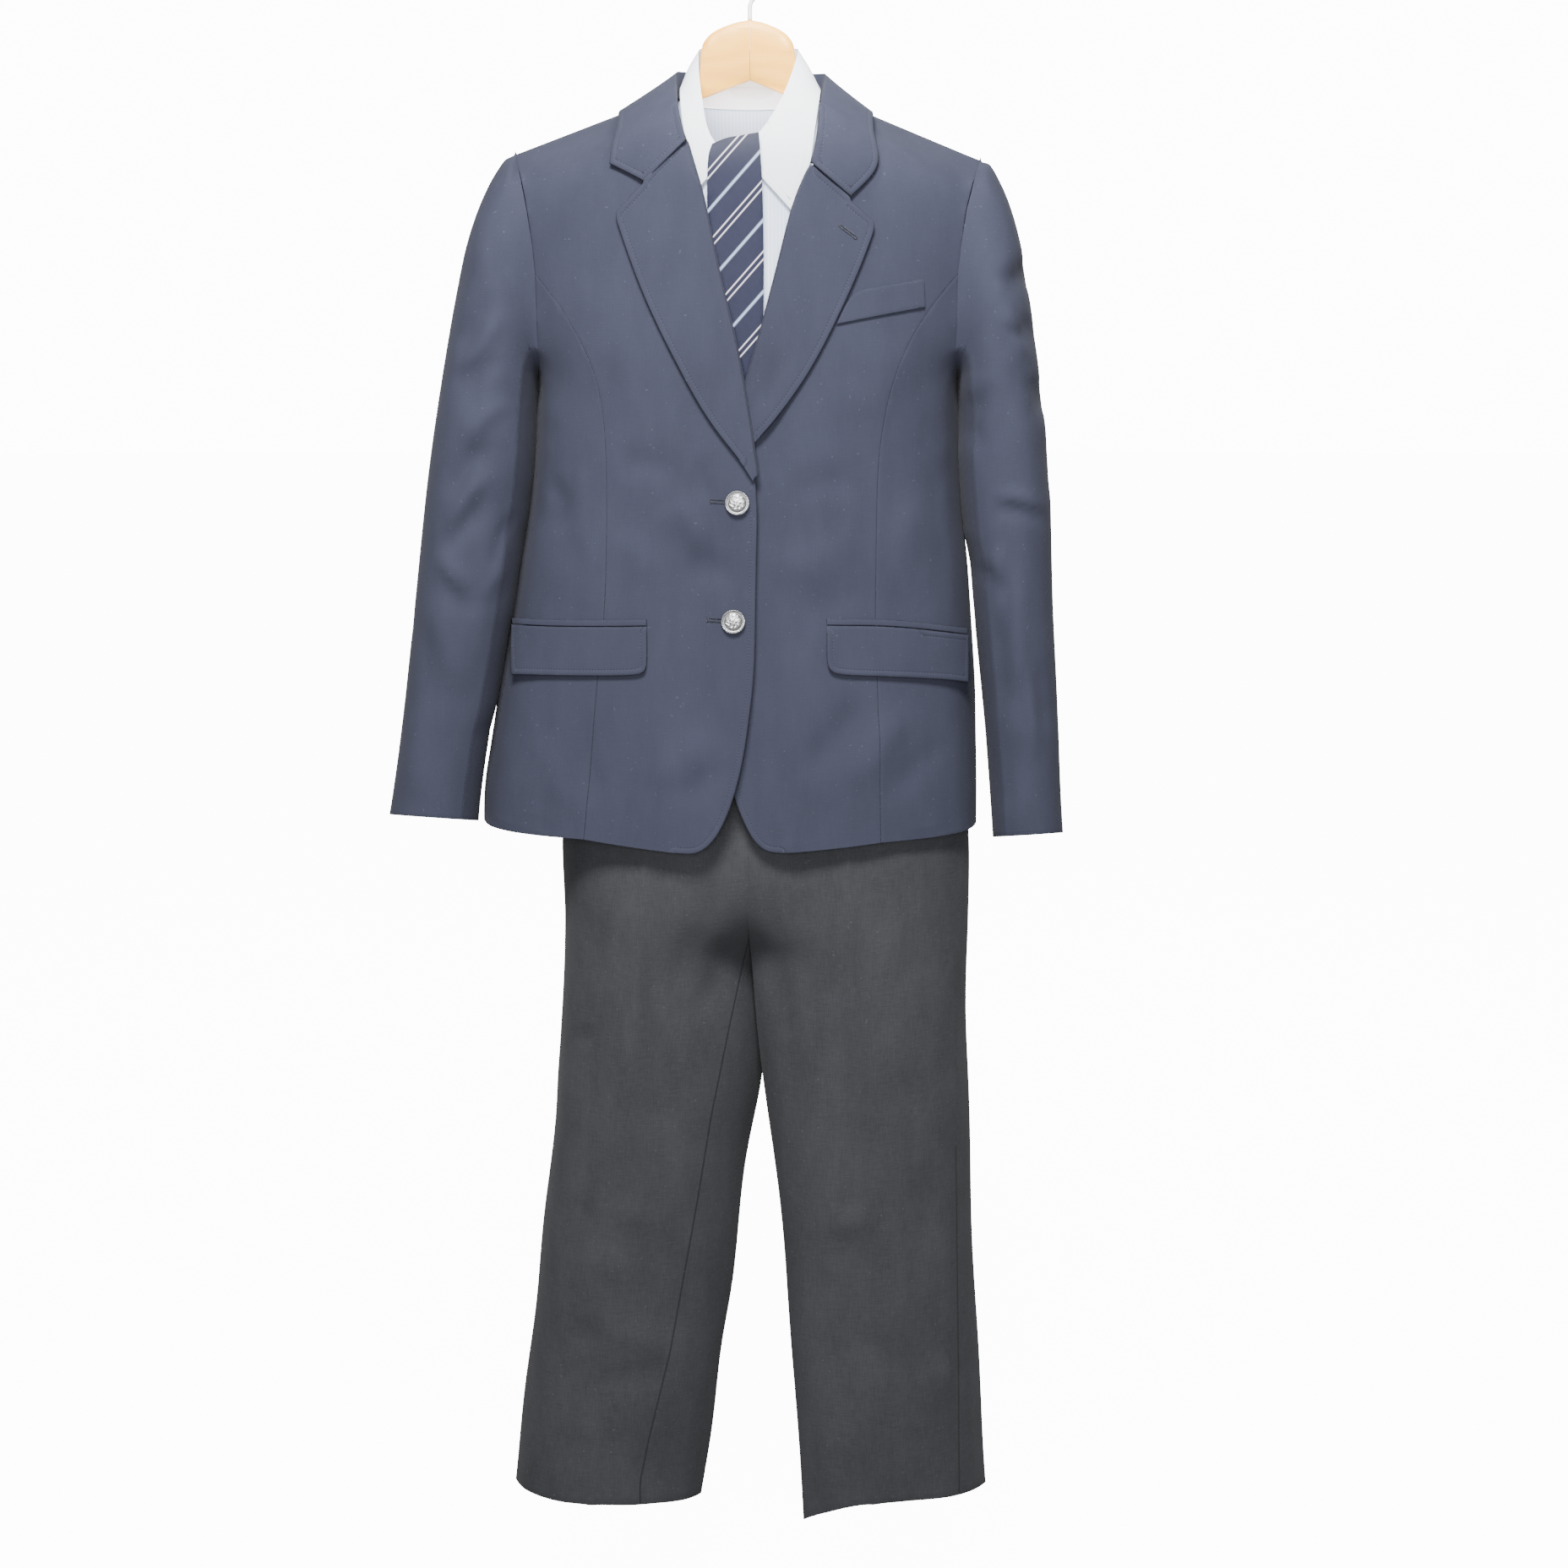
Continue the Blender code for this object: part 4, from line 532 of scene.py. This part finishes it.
# Shirt
# A pale blue cotton-blend school shirt with fine white stripes and a plain white collar, topstitched at its
# leaf edges. It hangs inside the blazer, and its bare neck label is sewn to the back of the collar stand.
def shirting(name, ground, stripe, pitch, share):
    """Fine plain-woven cotton, with upright stripes where share is above 0, and painted shade in its stitch
    grooves.
    """
    cloth = Finish(name, 0.78, Sheen_Weight=0.15, Sheen_Roughness=0.4, Specular_IOR_Level=0.3)
    point, (x, y, z) = cloth.place()
    weave = cloth.noise(point, 2.2, 2.0)
    soft = cloth.noise(point, 0.03, 2.0)
    edge, run = cloth.attribute("edge_mm"), cloth.attribute("run_mm")
    near = (edge - 0.01).step(0.0, 0.2)
    groove = edge.line(STITCH_INSET, 0.8) * near
    stitch = groove * ((run * (2.0 * math.pi / STITCH_LENGTH)).of("SINE")).step(-0.7, 0.2)
    tone = cloth.blend(soft * 0.6, ground, tuple(c * 0.93 for c in ground[:3]) + (1.0,))
    if share:
        wave = (x * (2.0 * math.pi / pitch)).of("SINE")
        tone = cloth.blend(wave.step(0.45, 0.75) * share, tone, stripe)
    # Painted shade: the stitch groove by the kept leaf edges is darkened.
    tone = cloth.blend(groove * 0.25, tone, tuple(c * 0.72 for c in ground[:3]) + (1.0,))
    cloth.set(tone, weave * 0.5 - groove * 1.4 + stitch * 0.9, soft * 0.1 + 0.70, 0.00012)
    return cloth.material


blue_stripe = shirting("striped_shirting", (0.68, 0.77, 0.96, 1.0), (0.92, 0.95, 0.99, 1.0), 2.9, 0.6)
white_poplin = shirting("white_poplin", (0.90, 0.93, 0.98, 1.0), None, 1.0, 0.0)
SHIRT_FOLDS = [
    (14, -190, 20, -330, 7, -1.6), (-50, -230, -60, -420, 16, -2.0), (60, -230, 70, -420, 16, 2.0),
    (20, -420, 10, -600, 18, 1.5), (-90, -420, -100, -620, 18, 2.0), (100, -420, 110, -620, 18, -2.0),
]


def shirt_form(points):
    out = outward(points, (0.0, 0.0), (190.0, 60.0))
    amount = folds(points, SHIRT_FOLDS) * np.abs(out[:, 1])
    return out * amount[:, None]


SHIRT_PANELS = {
    "front_left": (0.21, 0.54, 0.095), "front_right": (0.21, 0.54, 0.102), "back": (0.42, 0.54, 0.196),
}
for name, cut in SHIRT_PANELS.items():
    cloth_piece(
        "shirt_body_" + name, "shirt_" + name, blue_stripe, 2, shirt_form, 0.35
    )


def stand_form(points):
    """Draws the collar stand's lower edge down behind the neck onto the shirt."""
    move = np.zeros_like(points)
    low = np.clip((-107.0 - points[:, 2]) / 9.0, 0.0, 1.0) * np.clip((points[:, 1] - 4.0) / 9.0, 0.0, 1.0)
    move[:, 2] = -3.6 * low
    return move


def leaf_edge(point):
    return point.z < -118.0 and point.y < -52.0


cloth_piece(
    "shirt_white_collar", "shirt_collar", white_poplin, 3, stand_form,
    0.4, leaf_edge,
)
label_cloth = Finish("woven_label", 0.5, Sheen_Weight=0.3, Sheen_Roughness=0.3)
point, (x, y, z) = label_cloth.place()
ribs = (z * (2.0 * math.pi / 0.7)).of("SINE") * 0.5 + 0.5
label_cloth.set(
    label_cloth.blend(ribs * 0.3, (0.80, 0.81, 0.84, 1.0), (0.68, 0.70, 0.75, 1.0)),
    ribs, ribs * 0.1 + 0.42, 0.00006,
)
build = smoothed(merged_copy("shirt_neck_label"), 2)
soften_rims(build, 0.25)
piece = finished("bare_neck_label", build, label_cloth.material, ["shirt_neck_label"])

# Tie
# A navy twill tie with repp stripes: a pair of fine white lines, then one broader pale blue line, rising to
# the right. Its folded blade hangs over the shirt's collar band and runs down inside the blazer.
silk = Finish("repp_stripe_silk", 0.52, Sheen_Weight=0.06, Sheen_Roughness=0.3, Specular_IOR_Level=0.25)
point, (x, y, z) = silk.place()
STRIPE_RISE = math.radians(48.0)
STRIPE_REPEAT = 36.5
slant = z * math.cos(STRIPE_RISE) - x * math.sin(STRIPE_RISE)
turn = (slant / STRIPE_REPEAT).of("FRACT") * STRIPE_REPEAT
across = x * math.cos(STRIPE_RISE) + z * math.sin(STRIPE_RISE)
rib = (slant * (2.0 * math.pi / 0.9)).of("SINE") * 0.5 + 0.5
bead = (across * (2.0 * math.pi / 1.5)).of("SINE") * 0.5 + 0.5
white_pair = turn.line(8.2, 0.9) + turn.line(12.2, 0.9)
pale_bar = turn.line(28.2, 1.7) * (bead * 0.35 + 0.65)
tone = silk.blend(rib * 0.35, (0.0075, 0.0095, 0.030, 1.0), (0.013, 0.016, 0.045, 1.0))
tone = silk.blend(white_pair, tone, (0.72, 0.66, 0.72, 1.0))
tone = silk.blend(pale_bar, tone, (0.46, 0.57, 0.80, 1.0))
silk.set(tone, rib * 0.5 + white_pair * 0.5 + pale_bar * 0.7 * bead, rib * 0.1 + 0.42, 0.00012)


def still(points):
    return np.zeros_like(points)


cloth_piece("striped_tie", "tie", silk.material, 3, still, 0.8)

# Blazer body
# A single-breasted navy wool-blend blazer. Fronts, side panels and backs are sewn on curved seams from the
# armholes, and the front edges are topstitched down to their rounded hem corners.
navy = suiting("navy_suiting", (0.0240, 0.0262, 0.0430, 1.0), (0.0400, 0.0430, 0.0670, 1.0), 0.55, 0.03)

BODY_EASE = 1.35
BODY_FOLDS = [
    (-77, -441, -20, -469, 14, 2.2), (-60, -494, -4, -488, 12, -2.2), (-110, -414, -48, -403, 12, -1.6),
    (-38, -396, -35, -440, 7, -1.2), (-100, -455, -86, -505, 14, 1.6), (-149, -414, -165, -469, 10, -2.2),
    (-140, -400, -128, -500, 9, 1.6), (13, -502, 91, -458, 16, 2.0), (24, -436, 91, -414, 12, -1.6),
    (40, -540, 100, -500, 14, -1.2), (69, -674, 141, -600, 14, 2.4), (35, -662, 102, -594, 13, -1.8),
    (110, -690, 165, -620, 12, -1.6), (-88, -674, -32, -617, 16, 1.5), (-60, -690, -14, -640, 12, -1.3),
    (-170, -620, -150, -700, 12, 1.5), (-120, -600, -132, -690, 11, -1.4), (150, -400, 160, -520, 10, -1.8),
    (-120, -250, -100, -350, 18, 1.4), (110, -300, 96, -380, 18, 1.3), (130, -420, 122, -520, 14, 1.2),
]
BACK_FOLDS = [
    (-60, -180, -20, -230, 18, -1.8), (60, -180, 20, -230, 18, -1.8), (-110, -300, -80, -420, 16, 2.0),
    (110, -300, 80, -420, 16, 2.0), (-90, -470, 0, -490, 12, -2.2), (90, -470, 0, -485, 12, -2.0),
    (-60, -520, -70, -680, 16, 2.4), (60, -520, 70, -680, 16, 2.4), (0, -540, 0, -690, 12, -2.0),
    (-130, -540, -140, -690, 12, -1.8), (130, -540, 140, -690, 12, -1.8), (-30, -250, 30, -260, 14, 1.2),
]


def body_form(points):
    out = outward(points, (-3.0, 0.0), (200.0, 72.0))
    front = np.clip(-out[:, 1], 0.0, 1.0)
    back = np.clip(out[:, 1], 0.0, 1.0)
    seated = np.clip((-150.0 - points[:, 2]) / 60.0, 0.0, 1.0)
    amount = BODY_EASE * folds(points, BODY_FOLDS) * front + folds(points, BACK_FOLDS) * back
    amount += 0.35 * np.sin(points[:, 0] / 21.0 + points[:, 2] / 47.0) * (front + back)
    beside = np.clip(np.abs(out[:, 0]) - 0.6, 0.0, 0.4) / 0.4
    amount += beside * np.clip((-345.0 - points[:, 2]) / 20.0, 0.0, 1.0)
    return out * (amount * seated)[:, None]


def left_front_rim(point):
    return point.z < -425.0 and point.x > -62.0


def right_front_rim(point):
    return point.z < -425.0 and point.x < 24.0


BODY_PANELS = [
    ("front_left", (0.21, 0.65, 0.0785), left_front_rim),
    ("front_right", (0.21, 0.65, 0.0790), right_front_rim),
    ("side_front_left", (0.13, 0.47, 0.0444), None), ("side_front_right", (0.13, 0.47, 0.0445), None),
    ("side_back_left", (0.13, 0.47, 0.0446), None), ("side_back_right", (0.13, 0.47, 0.0446), None),
    ("back_left", (0.21, 0.64, 0.0774), None), ("back_right", (0.21, 0.64, 0.0772), None),
]
for name, cut, keep in BODY_PANELS:
    cloth_piece(
        "blazer_" + name + "_panel", "blazer_" + name, navy, 3, body_form, 0.6, keep
    )

# Sleeves
# Two-piece sleeves set into the armholes and hanging almost straight, each of a wide upper and a narrow
# under part. Diagonal creases gather at the elbows, and hollows lie along the upper arms.
SLEEVE_CENTRE = {
    "left": ((-720, -670, -565, -450, -350, -200), (-270, -264, -247, -225, -211, -199)),
    "right": ((-720, -678, -565, -450, -350, -200), (234, 230, 221, 212, 203, 195)),
}
SLEEVE_EASE = 1.3
SLEEVE_FOLDS = {
    "left": [
        (-238, -338, -190, -288, 7, 2.8), (-240, -318, -196, -270, 9, -2.6),
        (-236, -368, -196, -318, 9, -2.8),
        (-232, -395, -190, -352, 8, 2.2), (-250, -440, -205, -385, 9, -3.2),
        (-250, -462, -204, -408, 7, 3.0),
        (-258, -486, -208, -430, 8, -3.4), (-220, -520, -196, -452, 6, 3.0),
        (-216, -500, -192, -440, 5, -3.0),
        (-262, -478, -222, -506, 7, 2.4), (-258, -500, -216, -528, 7, -2.4),
        (-252, -512, -240, -600, 11, 2.6),
        (-268, -520, -262, -620, 10, -2.2), (-232, -540, -240, -640, 9, -2.0),
        (-280, -600, -272, -690, 10, 1.8),
        (-228, -300, -222, -360, 12, -2.0),
    ],
    "right": [
        (229, -243, 200, -276, 11, -5.0), (226, -290, 208, -312, 10, -3.6), (226, -334, 236, -374, 9, -4.0),
        (206, -270, 214, -340, 8, 2.6), (184, -340, 182, -402, 8, -3.0), (194, -432, 244, -440, 5, 2.6),
        (194, -443, 246, -452, 5, -3.2), (190, -486, 206, -518, 7, -3.4), (204, -470, 196, -520, 6, 2.6),
        (222, -476, 214, -600, 8, 2.8), (206, -520, 204, -620, 7, -2.6), (236, -562, 242, -630, 9, -2.8),
        (226, -560, 232, -660, 7, 2.2), (240, -380, 244, -440, 8, -2.6), (214, -620, 216, -700, 8, -1.8),
    ],
}
# Where the cloth stands up beside the shoulder seam, by side: x, width and height
SLEEVE_HEAD = {"left": (-192.0, 5.5, 3.8), "right": (189.5, 9.0, 3.4)}
HEAD_TAKE = 1.2


def sleeve_form(side):
    def form(points):
        centre_x = np.interp(points[:, 2], *SLEEVE_CENTRE[side])
        centre_y = np.interp(points[:, 2], (-720, -400, -200), (-16, -5, 0))
        out = outward(points, (centre_x, centre_y), (40.0, 52.0))
        front = np.sqrt(np.clip(-out[:, 1], 0.0, 1.0))
        back = np.sqrt(np.clip(out[:, 1], 0.0, 1.0))
        amount = SLEEVE_EASE * folds(points, SLEEVE_FOLDS[side]) * front
        amount += 0.7 * folds(points + np.array((0.0, 0.0, 34.0)), SLEEVE_FOLDS[side]) * back
        seated = np.clip((-190.0 - points[:, 2]) / 50.0, 0.0, 1.0)
        moves = out * ((amount + 1.0) * seated)[:, None]
        head_x, head_width, head_rise = SLEEVE_HEAD[side]
        head = np.exp(-(((points[:, 0] - head_x) / head_width) ** 2))
        head *= np.clip((points[:, 2] + 195.0) / 15.0, 0.0, 1.0)
        return moves + np.outer(head, (-math.copysign(HEAD_TAKE, head_x), 0.0, head_rise))
    return form


# Height down to which a sleeve lies against the body, and how far it laps over the body's outline
REST_LOW = {"left": -628.0, "right": -490.0}
REST_TOP = -328.0
REST_LAP = 1.2


def outline_x(points):
    """Sideways place of points as the camera sees them, carried to the plane of the hook."""
    eye = np.array(camera.location) / MM
    return eye[0] + (points[:, 0] - eye[0]) * eye[1] / (eye[1] - points[:, 1])


def rest_sleeve(side):
    """Moves the inner half of a finished sleeve in until its outline meets that of the body."""
    way = 1.0 if side == "left" else -1.0
    panels = [bpy.data.objects[f"blazer_side_{face}_{side}_panel"] for face in ("front", "back")]
    sleeves = [bpy.data.objects[f"blazer_{part}_sleeve_{side}"] for part in ("upper", "lower")]
    body = np.array([v.co for piece in panels for v in piece.data.vertices]) / MM
    sleeve = np.array([v.co for piece in sleeves for v in piece.data.vertices]) / MM
    heights = np.arange(REST_LOW[side] - 10.0, REST_TOP + 11.0, 8.0)
    gaps = []
    for height in heights:
        body_x, sleeve_x = (way * outline_x(p[np.abs(p[:, 2] - height) < 4.0]) for p in (body, sleeve))
        gaps.append(max(body_x.min() - sleeve_x.max() + REST_LAP, 0.0))
    gaps = np.convolve(np.pad(gaps, 1, mode="edge"), (0.25, 0.5, 0.25), mode="valid")
    for piece in sleeves:
        points = np.array([v.co for v in piece.data.vertices]) / MM
        centre_x = np.interp(points[:, 2], *SLEEVE_CENTRE[side])
        share = np.clip(way * (points[:, 0] - centre_x) / 20.0, 0.0, 1.0)
        window = np.clip((points[:, 2] - REST_LOW[side]) / 25.0, 0.0, 1.0)
        window *= np.clip((REST_TOP - points[:, 2]) / 10.0, 0.0, 1.0)
        window *= share * share * (3.0 - 2.0 * share)
        points[:, 0] += way * np.interp(points[:, 2], heights, gaps) * window
        piece.data.vertices.foreach_set("co", (points * MM).ravel())
        piece.data.update()


SLEEVE_PARTS = [("upper", "top", (0.20, 0.58, 0.082)), ("lower", "under", (0.15, 0.52, 0.052))]
for side in ("left", "right"):
    for name, node, cut in SLEEVE_PARTS:
        cloth_piece(
            f"blazer_{name}_sleeve_{side}", f"blazer_{node}_sleeve_{side}", navy, 3,
            sleeve_form(side), 0.6,
        )
    rest_sleeve(side)

# Pockets
# Each lower pocket has a narrow jet along its mouth and a topstitched flap with rounded corners. The chest
# pocket is a plain slanted welt, sewn down at both ends.
def flap_rim(point):
    return point.z < -541.0


# All of a jet's front rims are kept, so a thin line of painted shade runs along its mouth.
def jet_rim(point):
    return point.y < 0.0


POCKET_PIECES = [
    ("left_pocket_jet", "pocket_jet_left", (0.125, 0.011), 0.0009, jet_rim),
    ("right_pocket_jet", "pocket_jet_right", (0.125, 0.011), 0.0009, jet_rim),
    ("left_pocket_flap", "flap_left", (0.13, 0.046), 0.0053, flap_rim),
    ("right_pocket_flap", "flap_right", (0.13, 0.046), 0.0054, flap_rim),
    ("chest_pocket_welt", "chest_welt", (0.075, 0.030), 0.0016, None),
]
for name, node, size, area, keep in POCKET_PIECES:
    cloth_piece(
        "blazer_" + name, "blazer_" + node, navy, 3, body_form, 0.5, keep
    )

# Lapels and collar
# The facings roll over as notched lapels and meet the collar at the gorge. All their free edges carry one
# row of topstitching, and the viewer's right lapel has a worked buttonhole near its tip.
GORGE = {"left": ((-49.4, -157.6), (-82.2, -190.0)), "right": ((48.9, -178.0), (79.6, -203.6))}
GORGE_TAKE = 2.1


def to_gorge(points, side, way):
    """Draws a lapel up or a collar end down to their common seam, a line between two points x, z."""
    start, end = np.array(GORGE[side])
    along = (end - start) / np.hypot(*(end - start))
    rise = np.array((abs(along[1]) * math.copysign(1.0, along[0]), abs(along[0])))
    offset = points[:, (0, 2)] - start
    run, off = offset @ along, offset @ rise
    near = np.exp(-((off / 3.5) ** 2)) * np.clip((np.hypot(*(end - start)) + 1.0 - run) / 3.0, 0.0, 1.0)
    near *= np.clip((run + 9.0) / 4.0, 0.0, 1.0)
    return np.outer(way * GORGE_TAKE * near, (rise[0], 0.0, rise[1]))


def lapel_form(side):
    return lambda points: body_form(points) + to_gorge(points, side, 1.0)


def collar_form(points):
    return to_gorge(points, "left", -0.8) + to_gorge(points, "right", -0.8)


def lapel_rim(side):
    def keep(point):
        roll_x = np.interp(point.z, (-414, -351, -241, -158), (4, -5, -29, -50))
        return point.x < roll_x - 9.0 if side == "left" else point.x > -roll_x + 9.0
    return keep


def collar_rim(point):
    return point.z < -131.0 or abs(point.x) > 90.0


for side in ("left", "right"):
    cloth_piece(
        "blazer_" + side + "_lapel", "blazer_lapel_" + side, navy, 3, lapel_form(side),
        0.6, lapel_rim(side),
    )
cloth_piece(
    "blazer_folded_collar", "blazer_collar", navy, 3, collar_form,
    0.6, collar_rim,
)

# Buttonholes and tacks
# Corded keyhole buttonholes worked in navy thread lie behind both buttons, and a plain one sits in the
# viewer's right lapel. A short thread bar tacks the outer end of the chest welt.
THREAD_RADIUS = 0.55
thread = Finish("navy_buttonhole_thread", 0.6, Sheen_Weight=0.3, Sheen_Roughness=0.3)
run = thread.attribute("run_mm")
purl = (run * (2.0 * math.pi / 0.8)).of("SINE") * 0.5 + 0.5
thread.set(
    thread.blend(purl, (0.006, 0.007, 0.013, 1.0), (0.016, 0.018, 0.030, 1.0)),
    purl, purl * 0.1 + 0.55, 0.00025,
)


def tree_over(*names):
    """Tree over finished pieces, for laying others against them."""
    points = []
    faces = []
    for name in names:
        mesh = bpy.data.objects[name].data
        faces += [tuple(len(points) + k for k in polygon.vertices) for polygon in mesh.polygons]
        points += [v.co.copy() for v in mesh.vertices]
    return BVHTree.FromPolygons(points, faces)


def worked_thread(build, tree, line, closed):
    """Adds a thread sewn on the cloth along points x, z in millimetres."""
    layer = build.verts.layers.float.get("run_mm") or build.verts.layers.float.new("run_mm")
    path = []
    for x, z in line:
        spot, normal, _, _ = tree.ray_cast(Vector((x, -250.0, z)) * MM, Vector((0.0, 1.0, 0.0)))
        if spot:
            path.append((spot, normal if normal.y < 0.0 else -normal))
    rings = []
    run = 0.0
    for k, (spot, normal) in enumerate(path):
        before = path[k - 1 if k or closed else 0][0]
        after = path[(k + 1) % len(path) if closed else min(k + 1, len(path) - 1)][0]
        side = (after - before).cross(normal).normalized()
        run += (spot - path[k - 1][0]).length / MM if k else 0.0
        ring = []
        for j in range(6):
            turn = math.pi * j / 3.0
            offset = (side * math.cos(turn) + normal * math.sin(turn)) * THREAD_RADIUS * MM
            ring.append(build.verts.new(spot + offset))
            ring[-1][layer] = run
        rings.append(ring)
    for k in range(len(rings) if closed else len(rings) - 1):
        following = rings[(k + 1) % len(rings)]
        for j in range(6):
            build.faces.new((rings[k][j], rings[k][(j + 1) % 6], following[(j + 1) % 6], following[j]))
    if not closed:
        build.faces.new(rings[0][::-1])
        build.faces.new(rings[-1])


def slot_line(start, end, half, eye):
    """Loop round a buttonhole from its plain end to its eye, as points x, z."""
    start, end = np.array(start), np.array(end)
    way = (end - start) / np.hypot(*(end - start))
    side = np.array((-way[1], way[0]))
    loop = []
    for k in range(-8, 9):
        turn = math.pi * k / 16.0
        loop.append(end + way * eye * math.cos(turn) + side * eye * math.sin(turn))
    for share in np.linspace(0.85, 0.0, 9):
        loop.append(start + (end - start) * share + side * half)
    for share in np.linspace(0.0, 0.85, 9):
        loop.append(start + (end - start) * share - side * half)
    return loop


def bar_line(x, z, rise):
    return [(x, z + rise * share) for share in np.linspace(-0.5, 0.5, 7)]


THREAD_WORK = {
    "upper_buttonhole": ("front_left_panel", [
        (slot_line((-30.6, -436.2), (-10.5, -437.4), 1.3, 2.0), True), (bar_line(-31.2, -436.2, 4.8), False),
    ]),
    "lower_buttonhole": ("front_left_panel", [
        (slot_line((-34.0, -530.8), (-14.0, -532.1), 1.3, 2.0), True), (bar_line(-34.6, -530.8, 4.8), False),
    ]),
    "lapel_buttonhole": ("right_lapel", [(slot_line((70.5, -223.0), (83.0, -232.0), 0.9, 1.3), True)]),
    "chest_welt_tacks": ("chest_pocket_welt", [(bar_line(134.5, -286.0, 4.0), False)]),
}
for name, (cloth, work) in THREAD_WORK.items():
    tree = tree_over("blazer_" + cloth)
    build = bmesh.new()
    for line, closed in work:
        worked_thread(build, tree, line, closed)
    finished(name, build, thread.material, [])

# Buttons
# Two shanked metal buttons of about 20 mm, each with a rolled rim, a plain sunken ring and a raised leafy
# relief in the middle. Their shanks are sewn through to the other front.
metal = Finish("silvered_button", 0.3, Metallic=1.0)
u, v = metal.attribute("face_u"), metal.attribute("face_v")
radius = (u * u + v * v).of("SQRT")
turn = v.of("ARCTAN2", u)
leaves = (turn * 9.0 + radius * 1.3).of("SINE").step(-0.4, 0.7) * radius.line(5.2, 1.7)
bud = (turn * 5.0).of("COSINE").step(-0.6, 0.8) * radius.line(1.6, 1.9)
rope = (turn * 40.0 + radius * 2.0).of("SINE") * radius.line(8.7, 0.9)
relief = leaves * 0.8 + bud + rope * 0.35 - radius.line(7.3, 0.8) * 0.7
metal.set(
    metal.blend(relief * 0.5 + 0.45, (0.20, 0.20, 0.21, 1.0), (0.80, 0.80, 0.81, 1.0)),
    relief, 0.34 - relief * 0.08, 0.0005,
)
for number in ("1", "2"):
    node = "blazer_button_" + number
    build = merged_copy(node)
    points = shares(build)
    middle = (points.min(axis=0) + points.max(axis=0)) * 0.5
    build = smoothed(build, 3, 0.9)
    u_layer, v_layer = build.verts.layers.float.new("face_u"), build.verts.layers.float.new("face_v")
    for vert in build.verts:
        vert[u_layer] = vert.co.x / MM - middle[0]
        vert[v_layer] = vert.co.z / MM - middle[2]
    finished("metal_button_" + number, build, metal.material, [node])
